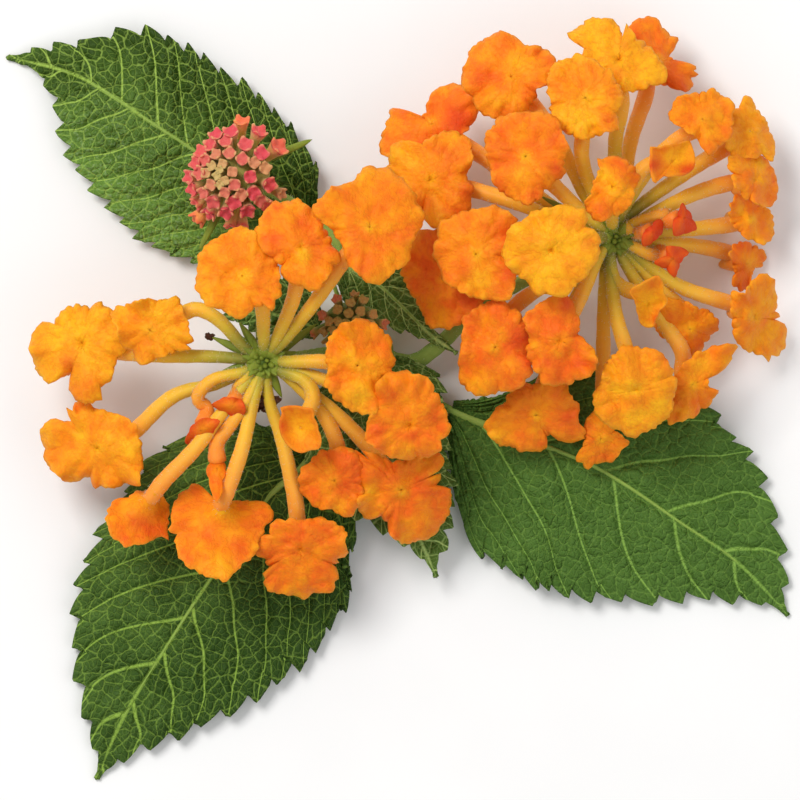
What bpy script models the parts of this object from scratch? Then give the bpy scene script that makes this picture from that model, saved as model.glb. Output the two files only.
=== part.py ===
"""Cut flowering sprig of lantana, lying on a surface and seen from above.

Metres, +Z up. Places in the plan are given on a drawing sheet whose x runs right
and whose y runs down; one sheet unit is 0.11 mm. Heights and widths are in
millimetres, and the surface that the sprig lies on is z = 0.
"""
import math
import random

import bmesh
import bpy
import numpy as np
from mathutils import Matrix, Vector

MM = 0.001
SHEET_UNIT = 0.11 * MM
SHEET_ORIGIN = (400.0, 400.0)    # the sheet point over the part's origin
FRAME_CENTRE = (-0.12 * MM, 0.26 * MM)  # shift that brings the box's middle to the origin

GAP = 0.3 * MM                   # space kept between neighbouring pieces
BLADE_THICKNESS = 0.75 * MM      # leaf blade, measured straight down
PETAL_THICKNESS = 0.75 * MM      # petal limb, measured along its own axis
THROAT_DEPTH = 0.8 * MM
TOOTH_REACH = 0.27               # millimetres that a tooth stands out of the blade's edge
EDGE_TRIM = 0.55                 # millimetres from a blade's listed half width to its edge
TUBE_SIDES = 1                   # bevel resolution: six-sided flower tubes
STEM_SIDES = 2                   # bevel resolution: eight-sided main stem
STALK_SIDES = 1                  # bevel resolution: six-sided stalks
LIMB_POINTS = 16
MERGE = 0.00001

NODE_POINT = (376, 350)          # where the leaves and stalks leave the main stem

# Each open floret: limb centre x, y, height, radius in sheet units, the way the
# limb faces, and the points its tube passes on the sheet after the centre.
LEFT_CENTRE = (266, 361)
LEFT_CORE_Z = 13.1
LEFT_FLORETS = [
    (85, 344, 12.0, 45, (-0.30, 0.10, 0.93), [(215, 357), (170, 356), (128, 353)]),
    (155, 331, 15.5, 39, (-0.20, -0.15, 0.95), [(245, 347), (222, 322), (200, 310), (182, 316)]),
    (240, 274, 22.0, 44, (-0.15, 0.20, 0.97), [(265, 335), (263, 305)]),
    (300, 247, 22.5, 46, (0.05, 0.20, 0.97), [(280, 335), (296, 295)]),
    (370, 228, 22.0, 61, (0.25, 0.30, 0.90), [(288, 338), (318, 300), (347, 258)]),
    (358, 368, 18.0, 46, (0.30, 0.05, 0.94), [(290, 362), (325, 362)]),
    (407, 416, 16.0, 46, (0.25, -0.20, 0.93), [(300, 372), (350, 390)]),
    (332, 480, 12.5, 36, (-0.10, -0.30, 0.93), [(290, 378), (315, 402), (330, 425), (338, 447)]),
    (403, 495, 10.8, 50, (0.25, -0.35, 0.88), [(300, 385), (335, 412), (368, 446)]),
    (301, 557, 10.5, 46, (0.05, -0.40, 0.90), [(270, 400), (283, 440), (296, 500)]),
    (222, 532, 10.4, 51, (-0.10, -0.48, -0.85), [(255, 400), (243, 450), (229, 503)]),
    (141, 516, 9.6, 33, (-0.40, -0.45, -0.75), [(222, 415), (197, 448), (166, 484)]),
    (95, 448, 10.5, 51, (-0.40, -0.15, 0.89), [(220, 383), (175, 396), (136, 431)]),
]
RIGHT_CENTRE = (612, 238)
RIGHT_CORE_Z = 12.1
RIGHT_FLORETS = [
    (510, 79, 14.0, 49, (-0.20, 0.25, 0.94), [(585, 200), (555, 140)]),
    (583, 100, 18.0, 41, (-0.10, 0.20, 0.96), [(598, 210), (580, 160)]),
    (616, 58, 12.5, 46, (0.10, 0.35, 0.90), [(612, 190), (614, 140), (620, 105)]),
    (664, 56, 8.0, 40, (0.40, 0.35, 0.80), [(622, 190), (630, 140), (645, 95)]),
    (524, 161, 20.0, 46, (-0.15, 0.15, 0.97), [(590, 222), (560, 195)]),
    (432, 184, 12.5, 52, (-0.25, 0.05, 0.95), [(575, 232), (530, 210), (480, 193)]),
    (428, 122, 9.5, 50, (-0.25, 0.35, 0.88), [(570, 220), (510, 178), (464, 146)]),
    (475, 256, 18.0, 46, (-0.20, -0.05, 0.97), [(585, 245), (530, 252)]),
    (549, 252, 22.5, 48, (-0.10, 0.00, 0.99), [(598, 240), (572, 246)]),
    (438, 280, 12.0, 49, (-0.30, -0.10, 0.94), [(585, 250), (520, 268), (475, 278)]),
    (494, 349, 16.0, 48, (-0.20, -0.20, 0.95), [(590, 258), (540, 288), (510, 312)]),
    (558, 341, 17.5, 46, (0.00, -0.22, 0.97), [(597, 258), (578, 300)]),
    (530, 420, 10.0, 48, (-0.10, -0.45, 0.87), [(592, 265), (565, 320), (545, 378)]),
    (601, 439, 8.4, 29, (0.10, -0.45, 0.85), [(604, 268), (602, 330), (602, 415)]),
    (633, 390, 15.0, 46, (0.10, -0.28, 0.95), [(608, 262), (614, 315), (624, 350)]),
    (694, 384, 10.0, 43, (0.35, -0.35, 0.85), [(622, 262), (655, 315), (680, 350)]),
    (702, 336, 8.5, 36, (0.40, -0.30, 0.70), [(628, 258), (665, 295), (688, 318)]),
    (757, 318, 8.0, 44, (0.75, -0.25, 0.60), [(635, 258), (680, 288), (735, 306)]),
    (748, 262, 3.63, 31, (0.80, -0.10, 0.58), [(640, 242), (690, 246), (730, 254)]),
    (751, 218, 6.6, 25, (0.75, 0.10, 0.65), [(640, 234), (690, 230), (734, 224)]),
    (751, 180, 9.2, 29, (0.75, 0.25, 0.60), [(638, 222), (690, 196), (733, 183)]),
    (748, 130, 8.0, 36, (0.60, 0.40, 0.70), [(632, 212), (690, 170), (730, 146)]),
    (698, 122, 13.0, 37, (0.20, 0.35, 0.90), [(625, 205), (655, 160), (684, 136)]),
    (608, 190, 18.5, 29, (0.00, 0.30, 0.95), [(610, 222)]),
]
# Young florets: a half-open cup has a radius, a closed red tip has none.
LEFT_YOUNG = [
    (203, 430, 13.6, 0, (-0.20, -0.70, 0.50), [(245, 372), (214, 380), (199, 398)]),
    (235, 406, 14.6, 0, (-0.20, -0.60, 0.70), [(255, 368), (241, 386)]),
    (300, 428, 16.5, 22, (-0.05, -0.25, 0.95), [(278, 370), (305, 380), (314, 398)]),
    (221, 500, 12.0, 0, (0.00, -0.80, -0.20), [(250, 398), (222, 440), (217, 468)]),
]
RIGHT_YOUNG = [
    (668, 165, 15.0, 23, (0.60, 0.30, 0.70), [(622, 205), (638, 174), (652, 166)]),
    (682, 218, 13.6, 0, (0.80, 0.10, 0.40), [(630, 226), (662, 216)]),
    (650, 235, 15.0, 0, (0.60, 0.00, 0.70), [(624, 230)]),
    (654, 308, 14.0, 30, (0.30, -0.50, 0.80), [(608, 252), (612, 280), (634, 298)]),
    (668, 262, 13.4, 18, (0.45, -0.30, 0.80), [(628, 246), (650, 256)]),
]

# Stalks of the stem: points x, y, height, and the stalk's radius in millimetres.
MAIN_STEM = [(370, 332, 1.75), (376, 350, 1.7), (392, 395, 1.5), (408, 440, 1.45), (424, 498, 1.45)]
LEFT_STALK = [(376, 350, 2.0), (350, 352, 3.0), (322, 355, 4.6), (294, 359, 6.8), (266, 361, 9.4)]
RIGHT_STALK = [(376, 350, 1.9), (396, 361, 2.7), (416, 361, 3.5), (438, 346, 4.3), (463, 322, 4.9),
               (487, 302, 5.4), (545, 270, 6.3), (588, 249, 7.4), (612, 238, 8.6)]
BUD_STALK = [(376, 350, 2.4), (358, 312, 3.4), (346, 270, 4.2), (333, 238, 5.1), (298, 207, 6.0),
             (262, 188, 6.2), (244, 175, 6.45)]
YOUNG_BUD_STALK = [(376, 350, 2.6), (374, 338, 4.6), (362, 327, 6.6), (352, 320, 7.6)]
BRACT_ANGLES_LEFT = (38, 66, 104, 148, 196, 246, 318)
BRACT_ANGLES_RIGHT = (20, 62, 110, 150, 205, 262, 310)

# Leaves: midrib from the blade's base to its tip (x, y, height of the upper face),
# half widths in millimetres along the midrib on its left and right side, the
# number of teeth a side, and the petiole from the blade to the main stem.
LEAVES = {
    "leaf_upper_left": dict(
        mid=[(300, 225, 3.2), (245, 186, 3.5), (190, 148, 3.8), (150, 122, 3.6), (110, 95, 3.0),
             (70, 73, 2.1), (8, 57, 0.75)],
        left=[(0, 3.0), (0.06, 7.5), (0.17, 10.0), (0.24, 11.2), (0.41, 11.5), (0.49, 10.6),
              (0.62, 9.2), (0.73, 6.9), (0.78, 5.2), (0.85, 2.6), (0.92, 1.1), (1, 0)],
        right=[(0, 3.5), (0.04, 6.1), (0.15, 8.1), (0.29, 9.4), (0.54, 9.5), (0.65, 8.9),
               (0.70, 7.9), (0.76, 5.9), (0.79, 4.4), (0.85, 2.9), (0.94, 1.7), (1, 0)],
        teeth=16, fold=-0.14, wave=0.45, phase=0.4,
        petiole=[(318, 240, 2.1), (340, 275, 1.7), (360, 315, 1.5), (372, 342, 1.5)]),
    "leaf_lower_left": dict(
        mid=[(325, 438, 3.4), (304, 465, 3.8), (264, 503, 4.0), (212, 577, 3.8), (183, 621, 3.3),
             (127, 711, 2.0), (97, 778, 0.75)],
        left=[(0, 2.0), (0.04, 5.5), (0.11, 9.6), (0.23, 13.0), (0.36, 14.1), (0.47, 13.9),
              (0.63, 11.2), (0.77, 7.3), (0.84, 5.2), (0.89, 3.4), (0.95, 1.7), (1, 0)],
        right=[(0, 2.0), (0.04, 5.0), (0.10, 8.2), (0.19, 11.4), (0.28, 13.4), (0.53, 13.2),
               (0.66, 11.3), (0.74, 9.0), (0.83, 5.6), (0.89, 3.3), (0.95, 1.3), (1, 0)],
        teeth=16, fold=-0.13, wave=0.5, phase=1.7,
        petiole=[(332, 430, 2.5), (350, 403, 1.9), (364, 376, 1.6), (372, 358, 1.5)]),
    "leaf_lower_right": dict(
        mid=[(451, 411, 3.1), (484, 424, 3.5), (545, 446, 4.0), (591, 465, 4.1), (630, 488, 3.9),
             (681, 523, 3.2), (737, 562, 2.1), (788, 615, 0.75)],
        left=[(0, 1.5), (0.10, 4.2), (0.17, 7.2), (0.27, 10.8), (0.38, 12.6), (0.48, 12.8),
              (0.58, 11.8), (0.70, 10.4), (0.77, 8.4), (0.84, 5.4), (0.90, 3.5), (1, 0)],
        right=[(0, 2.0), (0.04, 5.5), (0.09, 9.6), (0.14, 12.9), (0.23, 14.3), (0.38, 14.8),
               (0.48, 14.0), (0.61, 11.3), (0.70, 8.5), (0.81, 5.2), (0.90, 2.5), (1, 0)],
        teeth=16, fold=-0.12, wave=0.5, phase=3.0,
        petiole=[(442, 406, 2.2), (420, 394, 1.8), (398, 374, 1.6), (386, 362, 1.6)]),
    "leaf_middle": dict(
        mid=[(374, 362, 5.5), (380, 400, 5.7), (390, 450, 5.5), (406, 505, 4.9), (436, 576, 3.6)],
        left=[(0, 3.0), (0.03, 5.5), (0.08, 7.0), (0.19, 7.4), (0.35, 7.1), (0.48, 6.5),
              (0.61, 6.0), (0.69, 5.4), (0.83, 3.5), (0.91, 2.0), (1, 0)],
        right=[(0, 3.0), (0.05, 6.0), (0.13, 8.7), (0.31, 9.3), (0.47, 8.4), (0.55, 7.2),
               (0.62, 5.6), (0.69, 4.2), (0.79, 2.4), (0.90, 1.1), (1, 0)],
        teeth=11, fold=-0.06, wave=0.3, phase=0.9,
        petiole=[(374, 372, 4.6), (376, 364, 4.4), (377, 356, 4.3)]),
    "leaf_upper_middle": dict(
        mid=[(345, 266, 5.9), (378, 285, 6.2), (400, 305, 6.5), (415, 320, 6.6), (430, 335, 6.6),
             (456, 353, 6.2)],
        left=[(0, 2.5), (0.15, 4.5), (0.30, 4.4), (0.45, 3.4), (0.60, 2.2), (0.75, 1.4),
              (0.90, 0.8), (1, 0)],
        right=[(0, 2.5), (0.15, 4.6), (0.30, 4.6), (0.45, 3.6), (0.60, 2.3), (0.75, 1.4),
               (0.90, 0.8), (1, 0)],
        teeth=8, fold=-0.05, wave=0.2, phase=2.2,
        petiole=[(352, 269, 5.1), (338, 266, 4.6), (334, 285, 4.0), (350, 322, 3.2),
                 (364, 340, 2.9)]),
    "leaf_small": dict(
        mid=[(318, 330, 6.3), (296, 320, 6.5), (270, 314, 6.4), (245, 314, 6.1), (220, 318, 5.6)],
        left=[(0, 1.5), (0.20, 2.6), (0.40, 3.0), (0.60, 2.6), (0.80, 1.4), (1, 0)],
        right=[(0, 2.0), (0.20, 4.0), (0.40, 4.8), (0.60, 4.0), (0.80, 2.0), (1, 0)],
        teeth=7, fold=-0.05, wave=0.2, phase=0.3,
        petiole=[(312, 328, 5.6), (330, 334, 5.0), (350, 343, 4.4), (362, 348, 3.9)]),
}

PINK_CLUSTER = dict(centre=(240, 172, 10.6), core=(4.3, 4.3, 3.4), count=36, width=1.45,
                    length=2.3, spread=115, seed=11)
GREEN_CLUSTER = dict(centre=(351, 318, 10.4), core=(3.1, 1.9, 1.7), count=20, width=1.3,
                     length=1.6, spread=110, seed=5)

COLOURS = {
    "petal": (0.95, 0.42, 0.03, 1.0),
    "pink": (0.72, 0.12, 0.11, 1.0),
    "young": (0.22, 0.25, 0.08, 1.0),
    "stem": (0.24, 0.33, 0.09, 1.0),
    "leaf": (0.07, 0.17, 0.03, 1.0),
}


def clear_scene():
    """Remove every object and collection, so that the model starts empty."""
    for item in list(bpy.data.objects):
        bpy.data.objects.remove(item, do_unlink=True)
    for group in list(bpy.data.collections):
        bpy.data.collections.remove(group)


def new_collection(name, hidden=False):
    """A collection in the scene; cutters go in a hidden one."""
    group = bpy.data.collections.new(name)
    bpy.context.scene.collection.children.link(group)
    group.hide_render = hidden
    return group


def finish(name, colour, roughness):
    """A plain Principled material."""
    made = bpy.data.materials.new(name)
    made.use_nodes = True
    shader = made.node_tree.nodes["Principled BSDF"]
    shader.inputs["Base Color"].default_value = colour
    shader.inputs["Roughness"].default_value = roughness
    shader.inputs["Metallic"].default_value = 0.0
    return made


def place(x, y, z):
    """A sheet point and a height in millimetres, as metres in the part's frame."""
    return Vector(((x - SHEET_ORIGIN[0]) * SHEET_UNIT - FRAME_CENTRE[0],
                   (SHEET_ORIGIN[1] - y) * SHEET_UNIT - FRAME_CENTRE[1], z * MM))


def smooth_path(points, steps):
    """Points along a smooth curve through the given ones, steps to each span."""
    ends = [points[0] * 2 - points[1]] + list(points) + [points[-1] * 2 - points[-2]]
    path = []
    for index in range(len(points) - 1):
        a, b, c, d = ends[index:index + 4]
        for step in range(steps):
            t = step / steps
            path.append(0.5 * (2 * b + (c - a) * t + (2 * a - 5 * b + 4 * c - d) * t * t
                               + (3 * b - a - 3 * c + d) * t ** 3))
    path.append(points[-1].copy())
    return path


def resample(path, count):
    """The same curve with its points spaced evenly."""
    lengths = np.cumsum([0.0] + [(b - a).length for a, b in zip(path, path[1:])])
    wanted = np.linspace(0.0, lengths[-1], count)
    axes = [np.interp(wanted, lengths, [p[axis] for p in path]) for axis in range(3)]
    return [Vector(values) for values in zip(*axes)]


def profile(pairs, t):
    """A smooth value through (place, value) pairs."""
    spots = [pair[0] for pair in pairs]
    values = [pair[1] for pair in pairs]
    slopes = np.gradient(values, spots)
    index = min(max(int(np.searchsorted(spots, t)) - 1, 0), len(spots) - 2)
    span = spots[index + 1] - spots[index]
    f = (t - spots[index]) / span
    rise = values[index + 1] - values[index]
    limit = 3 * abs(rise)
    m0 = max(-limit, min(limit, slopes[index] * span))
    m1 = max(-limit, min(limit, slopes[index + 1] * span))
    return (values[index] + m0 * (f - 2 * f * f + f ** 3) + m1 * (f ** 3 - f * f)
            + rise * (3 * f * f - 2 * f ** 3))


def from_bmesh(name, made, group):
    """Turn a bmesh into an object of the collection, faces outward."""
    bmesh.ops.recalc_face_normals(made, faces=made.faces)
    mesh = bpy.data.meshes.new(name)
    made.to_mesh(mesh)
    made.free()
    item = bpy.data.objects.new(name, mesh)
    group.objects.link(item)
    return item


def tube(name, path, radii, sides, group):
    """A closed mesh tube along a path, made from a bevelled curve."""
    curve = bpy.data.curves.new(name, "CURVE")
    curve.dimensions = "3D"
    curve.bevel_depth = 1.0
    curve.bevel_resolution = sides
    curve.use_fill_caps = True
    spline = curve.splines.new("POLY")
    spline.points.add(len(path) - 1)
    for point, spot, radius in zip(spline.points, path, radii):
        point.co = (*spot, 1.0)
        point.radius = radius
    source = bpy.data.objects.new(name + "_curve", curve)
    bpy.context.scene.collection.objects.link(source)
    bpy.context.view_layer.update()
    mesh = bpy.data.meshes.new_from_object(source.evaluated_get(bpy.context.evaluated_depsgraph_get()))
    bpy.data.objects.remove(source, do_unlink=True)
    made = bmesh.new()
    made.from_mesh(mesh)
    bpy.data.meshes.remove(mesh)
    bmesh.ops.remove_doubles(made, verts=made.verts, dist=MERGE / 10)
    return from_bmesh(name, made, group)


def even_radii(count, start, end):
    """Radii in metres that run evenly from one value to the other."""
    return [value * MM for value in np.linspace(start, end, count)]


def keep_body(item):
    """Keep the largest connected body: inner pockets and loose scraps go."""
    made = bmesh.new()
    made.from_mesh(item.data)
    bmesh.ops.remove_doubles(made, verts=made.verts, dist=MERGE / 5)
    bmesh.ops.dissolve_degenerate(made, edges=made.edges, dist=MERGE / 5)
    left, bodies = set(made.verts), []
    while left:
        stack, body = [left.pop()], []
        while stack:
            vert = stack.pop()
            body.append(vert)
            for edge in vert.link_edges:
                other = edge.other_vert(vert)
                if other in left:
                    left.remove(other)
                    stack.append(other)
        bodies.append(body)
    bodies.sort(key=len)
    bmesh.ops.delete(made, geom=[v for body in bodies[:-1] for v in body], context="VERTS")
    made.to_mesh(item.data)
    made.free()


def join_all(base, group, solver="EXACT"):
    """One union of the base with every object of a collection, which then goes."""
    modifier = base.modifiers.new("join", "BOOLEAN")
    modifier.operation = "UNION"
    modifier.operand_type = "COLLECTION"
    modifier.collection = group
    modifier.solver = solver
    settle(base)
    for item in list(group.objects):
        bpy.data.objects.remove(item, do_unlink=True)
    bpy.data.collections.remove(group)
    keep_body(base)


def cut(item, cutter):
    """Take one object's volume away from another."""
    modifier = item.modifiers.new("cut", "BOOLEAN")
    modifier.operation = "DIFFERENCE"
    modifier.object = cutter
    modifier.solver = "EXACT"
    settle(item)
    keep_body(item)


def settle(item):
    """Apply an object's modifiers to its mesh."""
    bpy.context.view_layer.update()
    mesh = bpy.data.meshes.new_from_object(item.evaluated_get(bpy.context.evaluated_depsgraph_get()))
    old = item.data
    item.modifiers.clear()
    item.data = mesh
    bpy.data.meshes.remove(old)


def ellipsoid(name, centre, radii, group, detail=2):
    """A rounded core."""
    made = bmesh.new()
    bmesh.ops.create_icosphere(made, subdivisions=detail, radius=1.0)
    bmesh.ops.scale(made, vec=Vector(radii) * MM, verts=made.verts)
    bmesh.ops.translate(made, vec=centre, verts=made.verts)
    return from_bmesh(name, made, group)


def limb_axes(normal, outward):
    """The limb's own axes: outer lobe along x, face along z."""
    face = Vector(normal).normalized()
    side = outward - face * outward.dot(face)
    if side.length < 0.05:
        side = Vector((0, -1, 0)) - face * face.dot(Vector((0, -1, 0)))
    side.normalize()
    return Matrix((side, face.cross(side), face)).transposed()


def limb_height(radius, reach, angle, phase, cup):
    """Height of the limb's upper face over its throat, with four ruffled lobes."""
    t = reach / radius
    throat = -THROAT_DEPTH * max(0.0, 1 - t / 0.3) ** 1.5
    curl = -0.10 * radius * t ** 2.2
    ruffle = 0.07 * radius * t * t * math.sin(5 * angle + phase)
    return throat + curl + ruffle + cup * radius * t ** 1.6


def limb(name, centre, axes, radius, phase, cup, group):
    """The spread petals: a four-lobed plate with a sunk throat."""
    made = bmesh.new()
    bmesh.ops.create_circle(made, segments=LIMB_POINTS, radius=1.0, cap_ends=True, cap_tris=True)
    spokes = [e for e in made.edges if any(v.co.length < 0.5 for v in e.verts)]
    bmesh.ops.subdivide_edges(made, edges=spokes, cuts=1)
    bmesh.ops.triangulate(made, faces=made.faces)
    rim = [e for e in made.edges if e.is_boundary]
    wall = bmesh.ops.extrude_edge_only(made, edges=rim)["geom"]
    lower = {v for v in wall if isinstance(v, bmesh.types.BMVert)}
    ring = [e for e in wall if isinstance(e, bmesh.types.BMEdge) and e.is_boundary]
    below = bmesh.ops.contextual_create(made, geom=ring)["faces"]
    lower.update(bmesh.ops.poke(made, faces=below)["verts"])
    for vert in made.verts:
        t, angle = vert.co.to_2d().length, math.atan2(vert.co.y, vert.co.x)
        lobes = 0.87 + 0.13 * math.cos(4 * angle) + 0.06 * math.cos(angle) * t
        lobes += 0.03 * math.sin(3 * angle + phase)
        reach = radius * t * (1 + (lobes - 1) * t)
        drop = PETAL_THICKNESS if vert in lower else 0.0
        up = limb_height(radius, reach, angle, phase, cup) - drop
        vert.co = centre + axes @ Vector((reach * math.cos(angle), reach * math.sin(angle), up))
    return from_bmesh(name, made, group)


def root_offset(start, via, height):
    """How far a tube's root stands from the core's middle, towards its own side."""
    way = (place(*via, 0) - start).to_2d().normalized()
    rise = max(-0.2, min(1.2, (height * MM - start.z) / (7 * MM)))
    return Vector((way.x, way.y, rise * 0.8)).normalized() * 1.15 * MM


def floret_path(start, centre, face, vias):
    """The tube's course from the core to the limb, ending along the limb's axis."""
    end = centre - face * (THROAT_DEPTH + 0.3 * MM)
    before = centre - face * 2.9 * MM
    flat = [start] + [Vector((*place(x, y, 0).to_2d(), 0.0)) for x, y in vias] + [before]
    steps = [(b.to_2d() - a.to_2d()).length for a, b in zip(flat, flat[1:])]
    total, run = sum(steps), 0.0
    for index in range(1, len(flat) - 1):
        run += steps[index - 1]
        s = run / total
        flat[index].z = start.z + (before.z - start.z) * s + 3.2 * MM * s * (1 - s)
    return smooth_path(flat + [end], 4)


def add_floret(name, row, start, group, rng):
    """One floret: a curved tube, and its limb, cup or closed tip."""
    x, y, z, size, normal, vias = row
    centre, face = place(x, y, z), Vector(normal).normalized()
    radius = size * SHEET_UNIT
    phase = rng.uniform(0, 2 * math.pi)
    root = start + root_offset(start, vias[0], z)
    path = resample(floret_path(root, centre, face, vias), 6 if len(vias) < 3 else 7)
    if size == 0:
        path = resample(path, 6)
        radii = [0.4, 0.48, 0.55, 0.7, 1.35, 0.8]
        path[-1] = path[-2] + (path[-1] - path[-2]).normalized() * 1.3 * MM
        tube(name + "_tip", path, [r * MM for r in radii], TUBE_SIDES, group)
        return
    tube(name + "_tube", path, even_radii(len(path), 0.38, 0.74), TUBE_SIDES, group)
    cup = 0.45 if size < 25 else 0.0
    axes = limb_axes(face, centre - start)
    limb(name + "_limb", centre, axes, radius, phase, cup, group)


def head(name, centre, core_z, florets, young, parts, seed):
    """An open head: all its florets joined on one small core."""
    rng = random.Random(seed)
    middle = place(*centre, core_z)
    base = ellipsoid(name, middle, (2.2, 2.2, 1.5), parts)
    group = new_collection(name + "_florets")
    for index, row in enumerate(florets + young):
        add_floret(f"floret{index}", row, middle, group, rng)
    join_all(base, group)
    base.data.materials.clear()
    base.data.materials.append(bpy.data.materials["petal"])
    return base


def cluster(name, centre, core, count, width, length, spread, seed, colour, parts):
    """A knob of unopened buds set on a rounded core by the golden angle."""
    rng = random.Random(seed)
    middle = place(*centre)
    base = ellipsoid(name, middle, core, parts)
    group = new_collection(name + "_buds")
    for index in range(count):
        tilt = math.acos(1 - (index + 0.5) / count * (1 - math.cos(math.radians(spread))))
        turn = index * math.pi * (3 - math.sqrt(5))
        ray = Vector((math.sin(tilt) * math.cos(turn), math.sin(tilt) * math.sin(turn),
                      math.cos(tilt)))
        size = width * (0.75 + 0.35 * index / count) * rng.uniform(0.92, 1.08) * MM
        reach = Vector((ray.x * core[0], ray.y * core[1], ray.z * core[2])) * MM
        tall = length * (0.8 + 0.3 * index / count) * MM
        made = bmesh.new()
        bmesh.ops.create_cone(made, cap_ends=True, segments=4, radius1=size * 0.5,
                              radius2=size * 0.72, depth=tall)
        turned = ray.to_track_quat("Z", "Y").to_matrix() @ Matrix.Rotation(rng.uniform(0, 1.5), 3, "Z")
        bmesh.ops.transform(made, matrix=turned.to_4x4(), verts=made.verts)
        bmesh.ops.translate(made, vec=middle + reach * 0.8 + ray * tall * 0.5, verts=made.verts)
        from_bmesh(f"bud{index}", made, group)
    join_all(base, group)
    base.data.materials.append(bpy.data.materials[colour])
    return base


def leaf_frame(mid, u):
    """Midrib point, and the plan's unit vector to the left of the way along it."""
    spot = u * (len(mid) - 1)
    index = min(int(spot), len(mid) - 2)
    f = spot - index
    here = mid[index].lerp(mid[index + 1], f)
    low, high = max(index - 1, 0), min(index + 2, len(mid) - 1)
    way = (mid[high] - mid[low]).to_2d().normalized()
    return here, Vector((-way.y, way.x, 0.0)), Vector((way.x, way.y, 0.0))


def leaf_point(mid, spec, u, v, tooth):
    """A point of the blade's upper face; tooth is 1 at a tooth's tip, -1 in a notch."""
    here, left, ahead = leaf_frame(mid, u)
    half = profile(spec["left"] if v > 0 else spec["right"], u)
    pitch = (mid[-1] - mid[0]).length / MM / spec["teeth"]
    edge = abs(v) > 0.99 and 0.0 < u < 1.0
    half = max(half - EDGE_TRIM, half * 0.5)
    out = half * abs(v) + (TOOTH_REACH * tooth * min(1.0, half / 2) if edge else 0.0)
    forward = 0.28 * pitch * min(1.0, half / 2) if edge and tooth > 0 else 0.0
    lift = spec["fold"] * out
    lift += spec["wave"] * abs(v) ** 2 * math.sin(9 * u + spec["phase"] + (1.3 if v < 0 else 0))
    lift *= min(1.0, 4 * (1 - u))
    point = here + (left * out * (1 if v > 0 else -1) + ahead * forward) * MM
    point.z = max(BLADE_THICKNESS, point.z + lift * MM)
    return point


def leaf(name, spec, cutter, parts):
    """A toothed, arched blade with its midrib and petiole, clear of the stem."""
    mid = resample(smooth_path([place(*p) for p in spec["mid"]], 8), 60)
    rows = 2 * spec["teeth"] + 2
    made = bmesh.new()
    bmesh.ops.create_grid(made, x_segments=rows, y_segments=4 if spec["teeth"] > 9 else 2, size=0.5)
    for vert in made.verts:
        u, v = vert.co.x + 0.5, vert.co.y * 2
        tooth = 1 if round(u * rows) % 2 else -1
        vert.co = leaf_point(mid, spec, u, v, tooth)
    bmesh.ops.remove_doubles(made, verts=made.verts, dist=MERGE)
    bmesh.ops.triangulate(made, faces=made.faces)
    lower = bmesh.ops.extrude_face_region(made, geom=made.faces[:])["geom"]
    lower = [v for v in lower if isinstance(v, bmesh.types.BMVert)]
    bmesh.ops.translate(made, vec=(0, 0, -BLADE_THICKNESS), verts=lower)
    blade = from_bmesh(name, made, parts)
    group = new_collection(name + "_rib")
    rib = [p - Vector((0, 0, BLADE_THICKNESS * 0.9)) for p in mid[3:44:4]]
    stalk = [place(*p) for p in reversed(spec["petiole"])]
    path = resample(smooth_path(stalk + [rib[0]], 4)[:-1] + rib, 7 + len(stalk))
    tube(name + "_stalk", path, even_radii(len(path), 0.62, 0.32), STALK_SIDES, group)
    join_all(blade, group)
    cut(blade, cutter)
    blade.data.materials.append(bpy.data.materials["leaf"])
    return blade


def bract(name, centre, angle, length, group):
    """A slim pointed bract under a head."""
    way = Vector((math.cos(angle), math.sin(angle), 0.0))
    start = centre + way * 0.9 * MM
    path = [start + way * length * MM * t + Vector((0, 0, 0.25 * t * MM)) for t in (0, 0.35, 0.7, 1)]
    tube(name, path, [r * MM for r in (0.5, 0.6, 0.45, 0.16)], TUBE_SIDES, group)


def stem(name, parts, grow=0.0):
    """Main stem with the stalks of all the heads, cut flat where it lies."""
    path = resample(smooth_path([place(*p) for p in MAIN_STEM], 5), 8)
    base = tube(name, path, [(r + grow) * MM for r in np.linspace(1.5, 1.62, len(path))],
                STEM_SIDES, parts)
    group = new_collection(name + "_stalks")
    stalks = [(LEFT_STALK, 0.85, 0.65), (RIGHT_STALK, 0.9, 0.62), (BUD_STALK, 0.6, 0.48),
              (YOUNG_BUD_STALK, 0.5, 0.42)]
    for index, (points, start, end) in enumerate(stalks):
        path = resample(smooth_path([place(*p) for p in points], 4), 2 + len(points))
        radii = even_radii(len(path), start + grow, end + grow)
        tube(f"{name}_stalk{index}", path, radii, STALK_SIDES, group)
    ellipsoid(name + "_joint", place(*NODE_POINT, 1.9), [r + grow for r in (1.9, 1.9, 1.75)], group, 1)
    heads = [(LEFT_CENTRE, LEFT_CORE_Z, BRACT_ANGLES_LEFT), (RIGHT_CENTRE, RIGHT_CORE_Z,
                                                             BRACT_ANGLES_RIGHT)]
    for index, (centre, core_z, angles) in enumerate(heads):
        cushion = place(*centre, core_z - 1.5 - 0.3 - 1.2)
        ellipsoid(f"{name}_cushion{index}", cushion, [r + grow for r in (1.9, 1.9, 1.2)], group, 1)
        for number, angle in enumerate(angles):
            bract(f"{name}_bract{index}_{number}", cushion, math.radians(angle), 3.4, group)
    join_all(base, group)
    floor = bmesh.new()
    bmesh.ops.create_cube(floor, size=1.0)
    bmesh.ops.scale(floor, vec=(0.2, 0.2, 0.01), verts=floor.verts)
    bmesh.ops.translate(floor, vec=(0, 0, -0.005), verts=floor.verts)
    cutters = new_collection(name + "_cutters", hidden=True)
    floor = from_bmesh(name + "_floor", floor, cutters)
    cut(base, floor)
    bpy.data.objects.remove(floor, do_unlink=True)
    bpy.data.collections.remove(cutters)
    return base


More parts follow.
